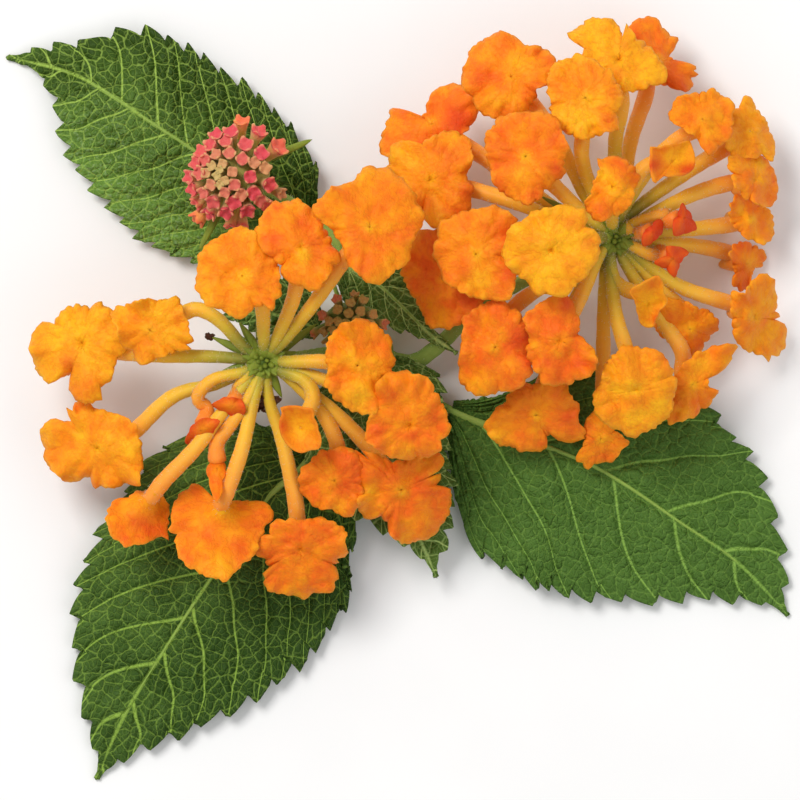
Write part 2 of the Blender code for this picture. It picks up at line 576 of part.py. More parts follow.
def main():
    """Build the sprig."""
    clear_scene()
    for name, colour in COLOURS.items():
        finish(name, colour, 0.6)
    parts = new_collection("lantana")
    body = stem("stem", parts)
    body.data.materials.append(bpy.data.materials["stem"])
    clearance = new_collection("clearance", hidden=True)
    cutter = stem("stem_clearance", clearance, grow=GAP / MM)
    cutter.display_type = "WIRE"
    cutter.hide_render = True
    for name, spec in LEAVES.items():
        leaf(name, spec, cutter, parts)
    bpy.data.objects.remove(cutter, do_unlink=True)
    bpy.data.collections.remove(clearance)
    head("left_head_florets", LEFT_CENTRE, LEFT_CORE_Z, LEFT_FLORETS, LEFT_YOUNG, parts, 3)
    head("right_head_florets", RIGHT_CENTRE, RIGHT_CORE_Z, RIGHT_FLORETS, RIGHT_YOUNG, parts, 7)
    cluster("pink_bud_head", colour="pink", parts=parts, **PINK_CLUSTER)
    cluster("young_bud_head", colour="young", parts=parts, **GREEN_CLUSTER)


main()
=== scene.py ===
"""Looks of a cut lantana sprig that lies on a surface and is seen from above.

Places are given as in the solids, on a drawing sheet whose x runs right and whose
y runs down. One sheet unit is one pixel of the photograph, read off it, and stands
for 0.11 mm. Heights are in millimetres.
"""
import logging
import math
import random
from collections.abc import Callable
from dataclasses import dataclass
from enum import Enum

import bmesh
import bpy
import numpy as np
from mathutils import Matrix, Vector, noise


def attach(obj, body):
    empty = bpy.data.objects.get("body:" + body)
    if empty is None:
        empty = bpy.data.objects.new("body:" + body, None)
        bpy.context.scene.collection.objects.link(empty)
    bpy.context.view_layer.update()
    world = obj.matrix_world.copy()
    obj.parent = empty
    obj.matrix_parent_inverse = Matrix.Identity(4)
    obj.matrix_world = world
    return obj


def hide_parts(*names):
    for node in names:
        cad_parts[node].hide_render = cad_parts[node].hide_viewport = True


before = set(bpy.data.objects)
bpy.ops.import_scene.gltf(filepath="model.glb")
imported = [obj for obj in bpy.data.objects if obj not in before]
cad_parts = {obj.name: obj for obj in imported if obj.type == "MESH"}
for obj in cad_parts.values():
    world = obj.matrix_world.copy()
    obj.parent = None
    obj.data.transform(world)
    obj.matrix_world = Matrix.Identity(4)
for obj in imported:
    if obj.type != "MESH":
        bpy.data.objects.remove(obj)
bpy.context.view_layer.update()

LOG = logging.getLogger("lantana")

MM = 0.001
SHEET_UNIT = 0.11 * MM
SHEET_ORIGIN = (400.0, 400.0)
FRAME_CENTRE = (-0.12 * MM, 0.26 * MM)
CAMERA_LENS = 600.0
CAMERA_HEIGHT = 1.4667
SENSOR = 36.0

PETAL_THICKNESS = 0.16 * MM
BLADE_THICKNESS = 0.35 * MM
EDGE_TRIM = 0.55
TOOTH_REACH = 1.05
LOWEST_HAIR = 0.05 * MM
LOWEST_PETAL = 0.2 * MM
LOWEST_BLADE = 0.75 * MM
HAIR_BASE = 0.026 * MM
MERGE = 0.001 * MM
SEAM = 0.9999
TINY = 1e-12

Colour = tuple[float, float, float]
Spot = tuple[float, float, float]
Socket = bpy.types.NodeSocket
Value = Socket | float


class Opening(Enum):
    """How far a floret has opened."""

    OPEN = "open"
    CUP = "cup"
    TIP = "tip"


def place(x: float, y: float, z: float) -> Vector:
    """Turn a sheet point and a height in millimetres into metres in the part's frame."""
    return Vector(((x - SHEET_ORIGIN[0]) * SHEET_UNIT - FRAME_CENTRE[0],
                   (SHEET_ORIGIN[1] - y) * SHEET_UNIT - FRAME_CENTRE[1], z * MM))


def smooth_path(points: list[Vector], steps: int) -> list[Vector]:
    """Points along a smooth curve through the given ones.

    Args:
        points: points to pass through.
        steps: points to each span.
    Returns:
        The curve's points.
    """
    ends = [points[0] * 2 - points[1]] + list(points) + [points[-1] * 2 - points[-2]]
    path = []
    for index in range(len(points) - 1):
        a, b, c, d = ends[index:index + 4]
        for step in range(steps):
            t = step / steps
            path.append(0.5 * (2 * b + (c - a) * t + (2 * a - 5 * b + 4 * c - d) * t * t
                               + (3 * b - a - 3 * c + d) * t ** 3))
    path.append(points[-1].copy())
    return path


def resample(path: list[Vector], count: int) -> np.ndarray:
    """Space a curve's points evenly.

    Args:
        path: the curve.
        count: how many points to return.
    Returns:
        An array of points, one to a row.
    """
    points = np.array([tuple(p) for p in path])
    lengths = np.r_[0.0, np.cumsum(np.linalg.norm(np.diff(points, axis=0), axis=1))]
    wanted = np.linspace(0.0, lengths[-1], count)
    return np.stack([np.interp(wanted, lengths, points[:, axis]) for axis in range(3)], axis=1)


def profile(pairs: list[tuple[float, float]], t: np.ndarray) -> np.ndarray:
    """Smooth values through (place, value) pairs.

    Args:
        pairs: the places and the values there.
        t: places to read.
    Returns:
        The values at t.
    """
    spots = np.array([p[0] for p in pairs], float)
    values = np.array([p[1] for p in pairs], float)
    slopes = np.gradient(values, spots)
    index = np.clip(np.searchsorted(spots, t) - 1, 0, len(spots) - 2)
    span = spots[index + 1] - spots[index]
    f = (t - spots[index]) / span
    rise = values[index + 1] - values[index]
    limit = 3 * np.abs(rise)
    m0 = np.clip(slopes[index] * span, -limit, limit)
    m1 = np.clip(slopes[index + 1] * span, -limit, limit)
    return (values[index] + m0 * (f - 2 * f * f + f ** 3) + m1 * (f ** 3 - f * f)
            + rise * (3 * f * f - 2 * f ** 3))


def smoothstep(low: float, high: float, x: np.ndarray) -> np.ndarray:
    """A soft step from 0 at low to 1 at high, read at x."""
    t = np.clip((x - low) / (high - low), 0.0, 1.0)
    return t * t * (3 - 2 * t)


class Patch:
    """A grid sheet that is bent into shape by arrays, with its own colour data."""

    def __init__(self, columns: int, rows: int) -> None:
        """Make the flat grid.

        Args:
            columns: faces along the first way.
            rows: faces along the second way.
        """
        self.sheet = bmesh.new()
        self.sheet.loops.layers.uv.new("UVMap")
        bmesh.ops.create_grid(self.sheet, x_segments=columns, y_segments=rows, size=0.5,
                              calc_uvs=True)
        flat = np.array([tuple(v.co) for v in self.sheet.verts])
        self.u = flat[:, 0] + 0.5
        self.v = flat[:, 1] + 0.5

    def bend(self, points: np.ndarray, data: np.ndarray | None = None,
             spread: np.ndarray | None = None) -> bmesh.types.BMesh:
        """Move the grid's points and close any seam.

        Args:
            points: a place for each point of the grid.
            data: red, green and blue values for each point.
            spread: texture coordinates for each point, or the grid's own.
        Returns:
            The bent sheet.
        """
        layer = self.sheet.verts.layers.float_color.new("marks")
        if spread is not None:
            uv = self.sheet.loops.layers.uv.active
            self.sheet.verts.index_update()
            for face in self.sheet.faces:
                for loop in face.loops:
                    loop[uv].uv = spread[loop.vert.index]
        for index, vert in enumerate(self.sheet.verts):
            vert.co = points[index]
            if data is not None:
                vert[layer] = (*data[index], 1.0)
        bmesh.ops.remove_doubles(self.sheet, verts=self.sheet.verts, dist=MERGE)
        return self.sheet

    def turn(self) -> np.ndarray:
        """Angles in radians round a grid whose first and last columns meet."""
        return np.where(self.u > SEAM, 0.0, self.u) * 2 * math.pi


class Builder:
    """Collects bent sheets into one mesh."""

    def __init__(self, name: str) -> None:
        """Start an empty piece.

        Args:
            name: the piece's name.
        """
        self.name = name
        self.mesh = bmesh.new()
        self.mesh.loops.layers.uv.new("UVMap")
        self.mesh.verts.layers.float_color.new("marks")

    def add(self, part: bmesh.types.BMesh) -> None:
        """Append a closed or open sheet.

        Args:
            part: the sheet, which is freed.
        """
        spare = bpy.data.meshes.new("spare")
        part.to_mesh(spare)
        part.free()
        self.mesh.from_mesh(spare)
        bpy.data.meshes.remove(spare)

    def build(self, finish: bpy.types.Material, slot: str, nodes: tuple[str, ...] = (),
              thickness: float = 0.0) -> bpy.types.Object:
        """Args:
            finish: its material.
            slot: the record's material slot; not used.
            nodes: the solids that it stands for.
            thickness: how thick an open sheet is made, in metres.
        Returns:
            The finished object.
        """
        mesh = bpy.data.meshes.new(self.name)
        self.mesh.to_mesh(mesh)
        self.mesh.free()
        piece = bpy.data.objects.new(self.name, mesh)
        bpy.context.scene.collection.objects.link(piece)
        if thickness:
            solid = piece.modifiers.new("thickness", "SOLIDIFY")
            solid.thickness = thickness
            solid.offset = -1.0
            solid.use_quality_normals = True
        mesh.shade_smooth()
        mesh.materials.append(finish)
        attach(piece, "root")
        if nodes:
            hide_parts(*nodes)
        return piece


def lump(skin: Callable[[Vector], Vector], mark: Callable[[Vector], Colour]) -> bmesh.types.BMesh:
    """A closed round lump, pushed into shape.

    Args:
        skin: turns a point of the unit sphere into its place in metres.
        mark: gives the colour data at a point of the unit sphere.
    Returns:
        The lump.
    """
    made = bmesh.new()
    layer = made.verts.layers.float_color.new("marks")
    bmesh.ops.create_icosphere(made, subdivisions=4, radius=1.0)
    for vert in made.verts:
        vert[layer] = (*mark(vert.co), 1.0)
        vert.co = skin(vert.co)
    return made


def sweep(path: np.ndarray, radii: np.ndarray, sides: int,
          section: Callable[[np.ndarray, np.ndarray], np.ndarray] | None = None,
          data: np.ndarray | None = None) -> bmesh.types.BMesh:
    """A tube along a path.

    Args:
        path: the path's points, one to a row.
        radii: the radius at each point.
        sides: faces round the tube.
        section: a function of the angle and the place along the tube that scales the radius.
        data: red, green and blue values for each point of the path.
    Returns:
        The tube as a mesh, closed at both ends.
    """
    count = len(path)
    ways = np.gradient(path, axis=0)
    ways /= np.linalg.norm(ways, axis=1)[:, None] + TINY
    side = np.cross(ways[0], (0.0, 0.0, 1.0))
    if np.linalg.norm(side) < 0.1:
        side = np.cross(ways[0], (0.0, 1.0, 0.0))
    firsts = []
    for way in ways:
        side = side - way * side.dot(way)
        side = side / (np.linalg.norm(side) + TINY)
        firsts.append(side)
    firsts = np.array(firsts)
    seconds = np.cross(ways, firsts)
    patch = Patch(sides, count - 1)
    row = np.rint(patch.v * (count - 1)).astype(int)
    angle = patch.turn()
    reach = radii[row]
    if section is not None:
        reach = reach * section(angle, row / (count - 1))
    reach = np.where((row == 0) | (row == count - 1), 0.0, reach)
    points = (path[row] + firsts[row] * (reach * np.cos(angle))[:, None]
              + seconds[row] * (reach * np.sin(angle))[:, None])
    return patch.bend(points, None if data is None else data[row])


@dataclass(frozen=True)
class ShaderKit:
    """Small helpers for building a node material."""

    material: bpy.types.Material

    @staticmethod
    def start(name: str) -> "ShaderKit":
        """Begin a material.

        Args:
            name: the material's name.
        Returns:
            A kit for it.
        """
        made = bpy.data.materials.new(name)
        made.use_nodes = True
        return ShaderKit(made)

    @property
    def shader(self) -> bpy.types.Node:
        """The Principled shader."""
        return self.material.node_tree.nodes["Principled BSDF"]

    def node(self, kind: str, **values: object) -> bpy.types.Node:
        """Add a node and set its values.

        Args:
            kind: the node's type.
            values: properties by name; input values by the input's name in words.
        Returns:
            The node.
        """
        made = self.material.node_tree.nodes.new(kind)
        for key, value in values.items():
            if hasattr(made, key):
                setattr(made, key, value)
            else:
                made.inputs[key.replace("_", " ")].default_value = value
        return made

    def link(self, start: Socket, end: Socket) -> None:
        """Join an output to an input."""
        self.material.node_tree.links.new(start, end)

    def math(self, operation: str, a: Value, b: Value | None = None, clamp: bool = False) -> Socket:
        """A maths node.

        Args:
            operation: what it does.
            a: a socket or a number.
            b: a socket, a number or nothing.
            clamp: whether the result stays from 0 to 1.
        Returns:
            The result.
        """
        made = self.node("ShaderNodeMath", operation=operation, use_clamp=clamp)
        for index, value in enumerate((a, b)):
            if value is None:
                continue
            if isinstance(value, (int, float)):
                made.inputs[index].default_value = value
            else:
                self.link(value, made.inputs[index])
        return made.outputs[0]

    def ramp(self, factor: Socket, stops: list[tuple[float, Colour]]) -> Socket:
        """A colour ramp.

        Args:
            factor: what it reads.
            stops: places and colours.
        Returns:
            The colour.
        """
        made = self.node("ShaderNodeValToRGB")
        marks = made.color_ramp.elements
        while len(marks) < len(stops):
            marks.new(0.5)
        for mark, (spot, colour) in zip(marks, stops):
            mark.position = spot
            mark.color = (*colour, 1.0)
        self.link(factor, made.inputs[0])
        return made.outputs[0]

    def mix(self, factor: Value, a: Socket | Colour, b: Socket | Colour) -> Socket:
        """Mix two colours.

        Args:
            factor: a socket or a number.
            a: a socket or a colour.
            b: a socket or a colour.
        Returns:
            The colour.
        """
        made = self.node("ShaderNodeMix", data_type="RGBA", blend_type="MIX")
        for index, value in ((0, factor), (6, a), (7, b)):
            if isinstance(value, (int, float)):
                made.inputs[index].default_value = value
            elif isinstance(value, tuple):
                made.inputs[index].default_value = (*value, 1.0)
            else:
                self.link(value, made.inputs[index])
        return made.outputs[2]

    def noise(self, scale: float, detail: float = 3.0, rough: float = 0.55,
              vector: Socket | None = None) -> Socket:
        """Noise in object space.

        Args:
            scale: waves to the metre.
            detail: finer layers.
            rough: strength of the finer layers.
            vector: coordinates, or nothing for the object's.
        Returns:
            The noise value.
        """
        made = self.node("ShaderNodeTexNoise", Scale=scale, Detail=detail, Roughness=rough)
        self.link(vector if vector is not None else self.coords(), made.inputs["Vector"])
        return made.outputs["Fac"]

    def coords(self, kind: str = "Object") -> Socket:
        """Texture coordinates of one kind, Object or UV."""
        return self.node("ShaderNodeTexCoord").outputs[kind]

    def marks(self) -> list[Socket]:
        """The piece's own colour data.

        Returns:
            The red, green and blue values.
        """
        source = self.node("ShaderNodeAttribute", attribute_name="marks")
        split = self.node("ShaderNodeSeparateColor")
        self.link(source.outputs["Color"], split.inputs[0])
        return list(split.outputs)

    def bump(self, height: Socket, strength: float, distance: float) -> None:
        """Fine relief on the shader.

        Args:
            height: the height.
            strength: its strength.
            distance: its depth in metres.
        """
        made = self.node("ShaderNodeBump", Strength=strength, Distance=distance)
        self.link(height, made.inputs["Height"])
        self.link(made.outputs[0], self.shader.inputs["Normal"])

    def set(self, **values: object) -> None:
        """Set the shader's own values, by the input's name in words."""
        for key, value in values.items():
            self.shader.inputs[key.replace("_", " ")].default_value = value


@dataclass(frozen=True)
class PetalFinish:
    """Satin orange petals: yellower when young, redder in creases as painted shade, finely veined."""

    yellow: Colour = (0.98, 0.45, 0.012)
    orange: Colour = (0.96, 0.29, 0.008)
    deep: Colour = (0.92, 0.155, 0.01)
    red: Colour = (0.7, 0.058, 0.01)
    rim: Colour = (0.99, 0.42, 0.03)
    patchiness: float = 1.5

    def build(self) -> bpy.types.Material:
        """Make the material.

        Returns:
            The material; marks hold tint, place from throat to rim, and redness, which is partly real red and
            partly painted shade in creases and under overlapping limbs.
        """
        kit = ShaderKit.start("petal")
        tint, reach, red = kit.marks()[:3]
        uv = kit.node("ShaderNodeSeparateXYZ")
        kit.link(kit.coords("UV"), uv.inputs[0])
        patchy = kit.noise(420.0, 4.0)
        uneven = kit.math("MULTIPLY", kit.math("SUBTRACT", patchy, 0.5), self.patchiness)
        tone = kit.math("ADD", tint, uneven, True)
        base = kit.ramp(tone, [(0.0, self.yellow), (0.55, self.orange), (1.0, self.deep)])
        fan = kit.node("ShaderNodeCombineXYZ")
        kit.link(kit.math("MULTIPLY", uv.outputs[0], 46.0), fan.inputs[0])
        kit.link(kit.math("MULTIPLY", reach, 1.6), fan.inputs[1])
        kit.link(kit.math("MULTIPLY", patchy, 5.0), fan.inputs[2])
        rays = kit.noise(1.0, 3.0, 0.6, fan.outputs[0])
        rays = kit.math("MULTIPLY", kit.math("SUBTRACT", rays, 0.52), 3.2, True)
        rays = kit.math("MULTIPLY", rays, kit.math("MULTIPLY", reach, 1.5, True))
        veined = kit.mix(kit.math("MULTIPLY", rays, 0.3), base, self.red)
        ridge = kit.math("ABSOLUTE", kit.math("SUBTRACT", kit.noise(850.0, 3.0, 0.65), 0.5))
        ridge = kit.math("SUBTRACT", 1.0, kit.math("MULTIPLY", ridge, 16.0), True)
        webbed = kit.mix(kit.math("MULTIPLY", ridge, 0.16), veined, self.red)
        edge = kit.math("MULTIPLY", kit.math("POWER", reach, 18.0), 0.5, True)
        edged = kit.mix(edge, webbed, self.rim)
        # Painted shade: the redness mark reddens creases, folds and lobe notches as if shaded; it also holds
        # the real red of tips and the tint spots.
        shade_reddened = kit.mix(red, edged, self.red)
        kit.link(shade_reddened, kit.shader.inputs["Base Color"])
        kit.set(Roughness=0.52, Subsurface_Weight=0.22, Subsurface_Scale=0.0007,
                Subsurface_Radius=(1.0, 0.3, 0.04), Specular_IOR_Level=0.12)
        grain = kit.math("ADD", kit.math("MULTIPLY", rays, 0.5), kit.noise(2600.0, 3.0))
        grain = kit.math("SUBTRACT", grain, kit.math("MULTIPLY", ridge, 0.7))
        kit.bump(grain, 0.5, 0.00012)
        return kit.material


@dataclass(frozen=True)
class TubeFinish:
    """Flower tubes: olive at the root, then yellow, gold and orange, with pale streaks."""

    root: Colour = (0.12, 0.17, 0.012)
    olive: Colour = (0.27, 0.28, 0.016)
    yellow: Colour = (0.62, 0.47, 0.018)
    gold: Colour = (0.9, 0.49, 0.018)
    orange: Colour = (0.95, 0.36, 0.02)
    mouth: Colour = (0.96, 0.27, 0.012)
    streak: Colour = (0.95, 0.58, 0.22)
    red: Colour = (0.82, 0.15, 0.02)
    down: tuple[float, float, float, float] = (1.0, 0.8, 0.55, 1.0)

    def build(self) -> bpy.types.Material:
        """Make the material.

        Returns:
            The material; marks hold the place along the tube, tint and redness.
        """
        kit = ShaderKit.start("tube")
        along, tint, red = kit.marks()[:3]
        shift = kit.math("ADD", along, kit.math("MULTIPLY", kit.math("SUBTRACT", tint, 0.5), 0.35), True)
        base = kit.ramp(shift, [(0.0, self.root), (0.12, self.olive), (0.24, self.yellow),
                                (0.46, self.gold), (0.75, self.orange), (1.0, self.mouth)])
        streaky = kit.mix(kit.math("MULTIPLY", kit.noise(1500.0, 3.0), 0.24), base, self.streak)
        final = kit.mix(red, streaky, self.red)
        kit.link(final, kit.shader.inputs["Base Color"])
        kit.set(Roughness=0.45, Subsurface_Weight=0.28, Subsurface_Scale=0.001,
                Subsurface_Radius=(1.0, 0.45, 0.08), Specular_IOR_Level=0.2, Sheen_Weight=0.1,
                Sheen_Tint=self.down)
        kit.bump(kit.noise(3000.0, 3.0), 0.3, 0.0001)
        return kit.material


@dataclass(frozen=True)
class LeafFinish:
    """A rough green blade with a pale net of veins, painted light and shade across its two halves, and
    painted glints on its lit half.
    """

    name: str
    dark: Colour
    light: Colour
    vein: Colour
    gloss: float = 0.5
    # Strength of the painted glints on the lit half.
    painted_glint: float = 0.0
    thin: float = 24.0
    web: float = 0.42
    # Colour of the painted glints.
    painted_sheen: Colour = (0.36, 0.47, 0.28)

    def build(self) -> bpy.types.Material:
        """Make the material.

        Returns:
            The material; marks hold the vein count, distance from the midrib and painted light and
            shade by side, and the texture coordinates are millimetres along and across the blade.
        """
        kit = ShaderKit.start(self.name)
        count, out, pale = kit.marks()[:3]
        spread = kit.coords("UV")
        wobble = kit.node("ShaderNodeTexNoise", Scale=0.9, Detail=2.0)
        kit.link(spread, wobble.inputs["Vector"])
        shift = kit.node("ShaderNodeVectorMath", operation="MULTIPLY_ADD")
        kit.link(wobble.outputs["Color"], shift.inputs[0])
        shift.inputs[1].default_value = (0.7, 0.7, 0.0)
        kit.link(spread, shift.inputs[2])
        coarse = self.net(kit, shift.outputs[0], 0.7)
        fine = self.net(kit, shift.outputs[0], 1.6)
        turns = kit.math("ADD", kit.math("MULTIPLY", count, 16.0), 0.5)
        apart = kit.math("ABSOLUTE", kit.math("SUBTRACT", kit.math("FRACT", turns), 0.5))
        side = kit.math("SUBTRACT", 1.0, kit.math("MULTIPLY", apart, kit.math(
            "ADD", kit.math("MULTIPLY", out, 1.3), self.thin)), True)
        middle = kit.math("SUBTRACT", 1.0, kit.math("MULTIPLY", out, 4.2), True)
        lines = kit.math("MAXIMUM", kit.math("POWER", side, 0.55), kit.math("POWER", middle, 0.6))
        web = kit.math("SUBTRACT", 1.0, kit.math("MULTIPLY", coarse, 13.0), True)
        mesh = kit.math("SUBTRACT", 1.0, kit.math("MULTIPLY", fine, 9.0), True)
        patchy = kit.noise(200.0, 4.0)
        speck = kit.noise(2600.0, 2.0)
        body = kit.math("ADD", kit.math("MULTIPLY", patchy, 0.8), kit.math("MULTIPLY", speck, 0.3))
        # Painted light and shade: the pale mark lightens the half of the blade turned to the lamp and darkens
        # the other half.
        body = kit.math("SUBTRACT", kit.math("ADD", body, pale), 0.3, True)
        base = kit.ramp(body, [(0.1, self.dark), (0.85, self.light)])
        # Painted glints: fine pale specks on the lit half, standing in for the lamp's reflection in the rough
        # surface.
        painted_sheen = kit.math("MULTIPLY", kit.math("SUBTRACT", kit.noise(2600.0, 2.0), 0.52), 6.0, True)
        painted_sheen = kit.math("MULTIPLY", painted_sheen, kit.math("MULTIPLY", pale, self.painted_glint, True))
        lit = kit.mix(kit.math("MULTIPLY", painted_sheen, 0.6), base, self.painted_sheen)
        webbed = kit.mix(kit.math("MULTIPLY", mesh, self.web * 0.4), lit, self.vein)
        netted = kit.mix(kit.math("MULTIPLY", web, self.web), webbed, self.vein)
        veined = kit.mix(kit.math("MULTIPLY", lines, 0.9), netted, self.vein)
        kit.link(veined, kit.shader.inputs["Base Color"])
        rough = kit.math("ADD", kit.math("MULTIPLY", speck, 0.2), self.gloss)
        kit.link(rough, kit.shader.inputs["Roughness"])
        kit.set(Specular_IOR_Level=0.15, Subsurface_Weight=0.04, Subsurface_Scale=0.0005,
                Subsurface_Radius=(0.5, 1.0, 0.2))
        relief = kit.math("ADD", kit.math("MINIMUM", kit.math("MULTIPLY", coarse, 3.0), 0.8),
                          kit.math("MINIMUM", kit.math("MULTIPLY", fine, 2.0), 0.5))
        relief = kit.math("ADD", relief, kit.math("MULTIPLY", speck, 0.35))
        kit.bump(relief, 0.8, 0.00025)
        return kit.material

    @staticmethod
    def net(kit: ShaderKit, spread: Socket, scale: float) -> Socket:
        """Distance to a net of irregular cells.

        Args:
            kit: the material's kit.
            spread: the coordinates, in millimetres.
            scale: cells to the millimetre.
        Returns:
            The distance.
        """
        cells = kit.node("ShaderNodeTexVoronoi", voronoi_dimensions="2D",
                         feature="DISTANCE_TO_EDGE", Scale=scale, Randomness=0.85)
        kit.link(spread, cells.inputs["Vector"])
        return cells.outputs["Distance"]


@dataclass(frozen=True)
class StemFinish:
    """Green, finely streaked stalks."""

    name: str
    dark: Colour
    light: Colour
    aged: Colour = (0.11, 0.045, 0.02)

    def build(self) -> bpy.types.Material:
        """Make the material.

        Returns:
            The material; marks hold ribs, tint and brownness.
        """
        kit = ShaderKit.start(self.name)
        rib, tint, brown = kit.marks()[:3]
        tone = kit.math("ADD", kit.math("MULTIPLY", kit.noise(900.0, 4.0), 0.7),
                        kit.math("MULTIPLY", tint, 0.5), True)
        base = kit.ramp(tone, [(0.1, self.dark), (0.9, self.light)])
        ribbed = kit.mix(kit.math("MULTIPLY", rib, 0.35), base, self.light)
        aged = kit.mix(brown, ribbed, self.aged)
        kit.link(aged, kit.shader.inputs["Base Color"])
        kit.set(Roughness=0.58, Subsurface_Weight=0.08, Subsurface_Scale=0.0006,
                Subsurface_Radius=(0.6, 1.0, 0.2), Specular_IOR_Level=0.22)
        kit.bump(kit.noise(3200.0, 4.0), 0.5, 0.00015)
        return kit.material


@dataclass(frozen=True)
class BudFinish:
    """Unopened buds: coloured corners over paler sides."""

    name: str
    side: Colour
    middle: Colour
    tip: Colour
    pale: Colour
    bloom: Colour
    glow_low: Colour = (0.8, 0.42, 0.05)
    glow_high: Colour = (0.9, 0.16, 0.03)

    def build(self) -> bpy.types.Material:
        """Make the material.

        Returns:
            The material; marks hold the place from root to tip, redness and orange.
        """
        kit = ShaderKit.start(self.name)
        along, redness, orange = kit.marks()[:3]
        grain = kit.math("MULTIPLY", kit.math("SUBTRACT", kit.noise(1300.0, 3.0), 0.5), 0.45)
        level = kit.math("ADD", along, grain, True)
        base = kit.ramp(level, [(0.4, self.side), (0.68, self.middle), (0.84, self.tip)])
        quiet = kit.ramp(level, [(0.3, self.side), (0.95, self.pale)])
        tinted = kit.mix(redness, quiet, base)
        glow = kit.ramp(level, [(0.35, self.glow_low), (0.9, self.glow_high)])
        mixed = kit.mix(orange, tinted, glow)
        bloom = kit.mix(kit.math("MULTIPLY", kit.noise(2600.0, 2.0), 0.16), mixed, self.bloom)
        kit.link(bloom, kit.shader.inputs["Base Color"])
        kit.set(Roughness=0.6, Subsurface_Weight=0.12, Subsurface_Scale=0.0005,
                Subsurface_Radius=(1.0, 0.5, 0.3), Sheen_Weight=0.1, Specular_IOR_Level=0.2)
        kit.bump(kit.noise(4200.0, 4.0), 0.5, 0.00012)
        return kit.material


@dataclass(frozen=True)
class HairFinish:
    """Fine pale plant hairs."""

    name: str
    colour: Colour
    light: Colour = (0.9, 0.88, 0.72)

    def build(self) -> bpy.types.Material:
        """Make the material.

        Returns:
            The material.
        """
        kit = ShaderKit.start(self.name)
        tone = kit.ramp(kit.noise(800.0, 2.0), [(0.2, self.colour), (0.8, self.light)])
        kit.link(tone, kit.shader.inputs["Base Color"])
        kit.set(Roughness=0.35, Subsurface_Weight=0.2, Subsurface_Scale=0.0003)
        return kit.material


@dataclass(frozen=True)
class Floret:
    """One floret.

    x, y and z are the throat's sheet point and height, and face is the way it looks.
    vias are sheet points along the tube, and rim those round the limb. A tint and shade spot is a
    sheet point, a size in sheet units and an amount, which reddens above 0 and yellows below 0;
    the reddening spots are partly real red and partly painted shade in creases and under
    overlapping limbs, and the yellowing ones partly real yellow and partly painted highlight on bulges.
    """

    x: float
    y: float
    z: float
    face: Spot
    vias: tuple
    rim: tuple
    tint: float = 0.5
    # Tint spots: reddening ones are partly painted shade in creases and under overlapping limbs, yellowing
    # ones partly painted highlight on bulges.
    tint_and_shade_spots: tuple = ()
    opening: Opening = Opening.OPEN
    red: float = 0.0


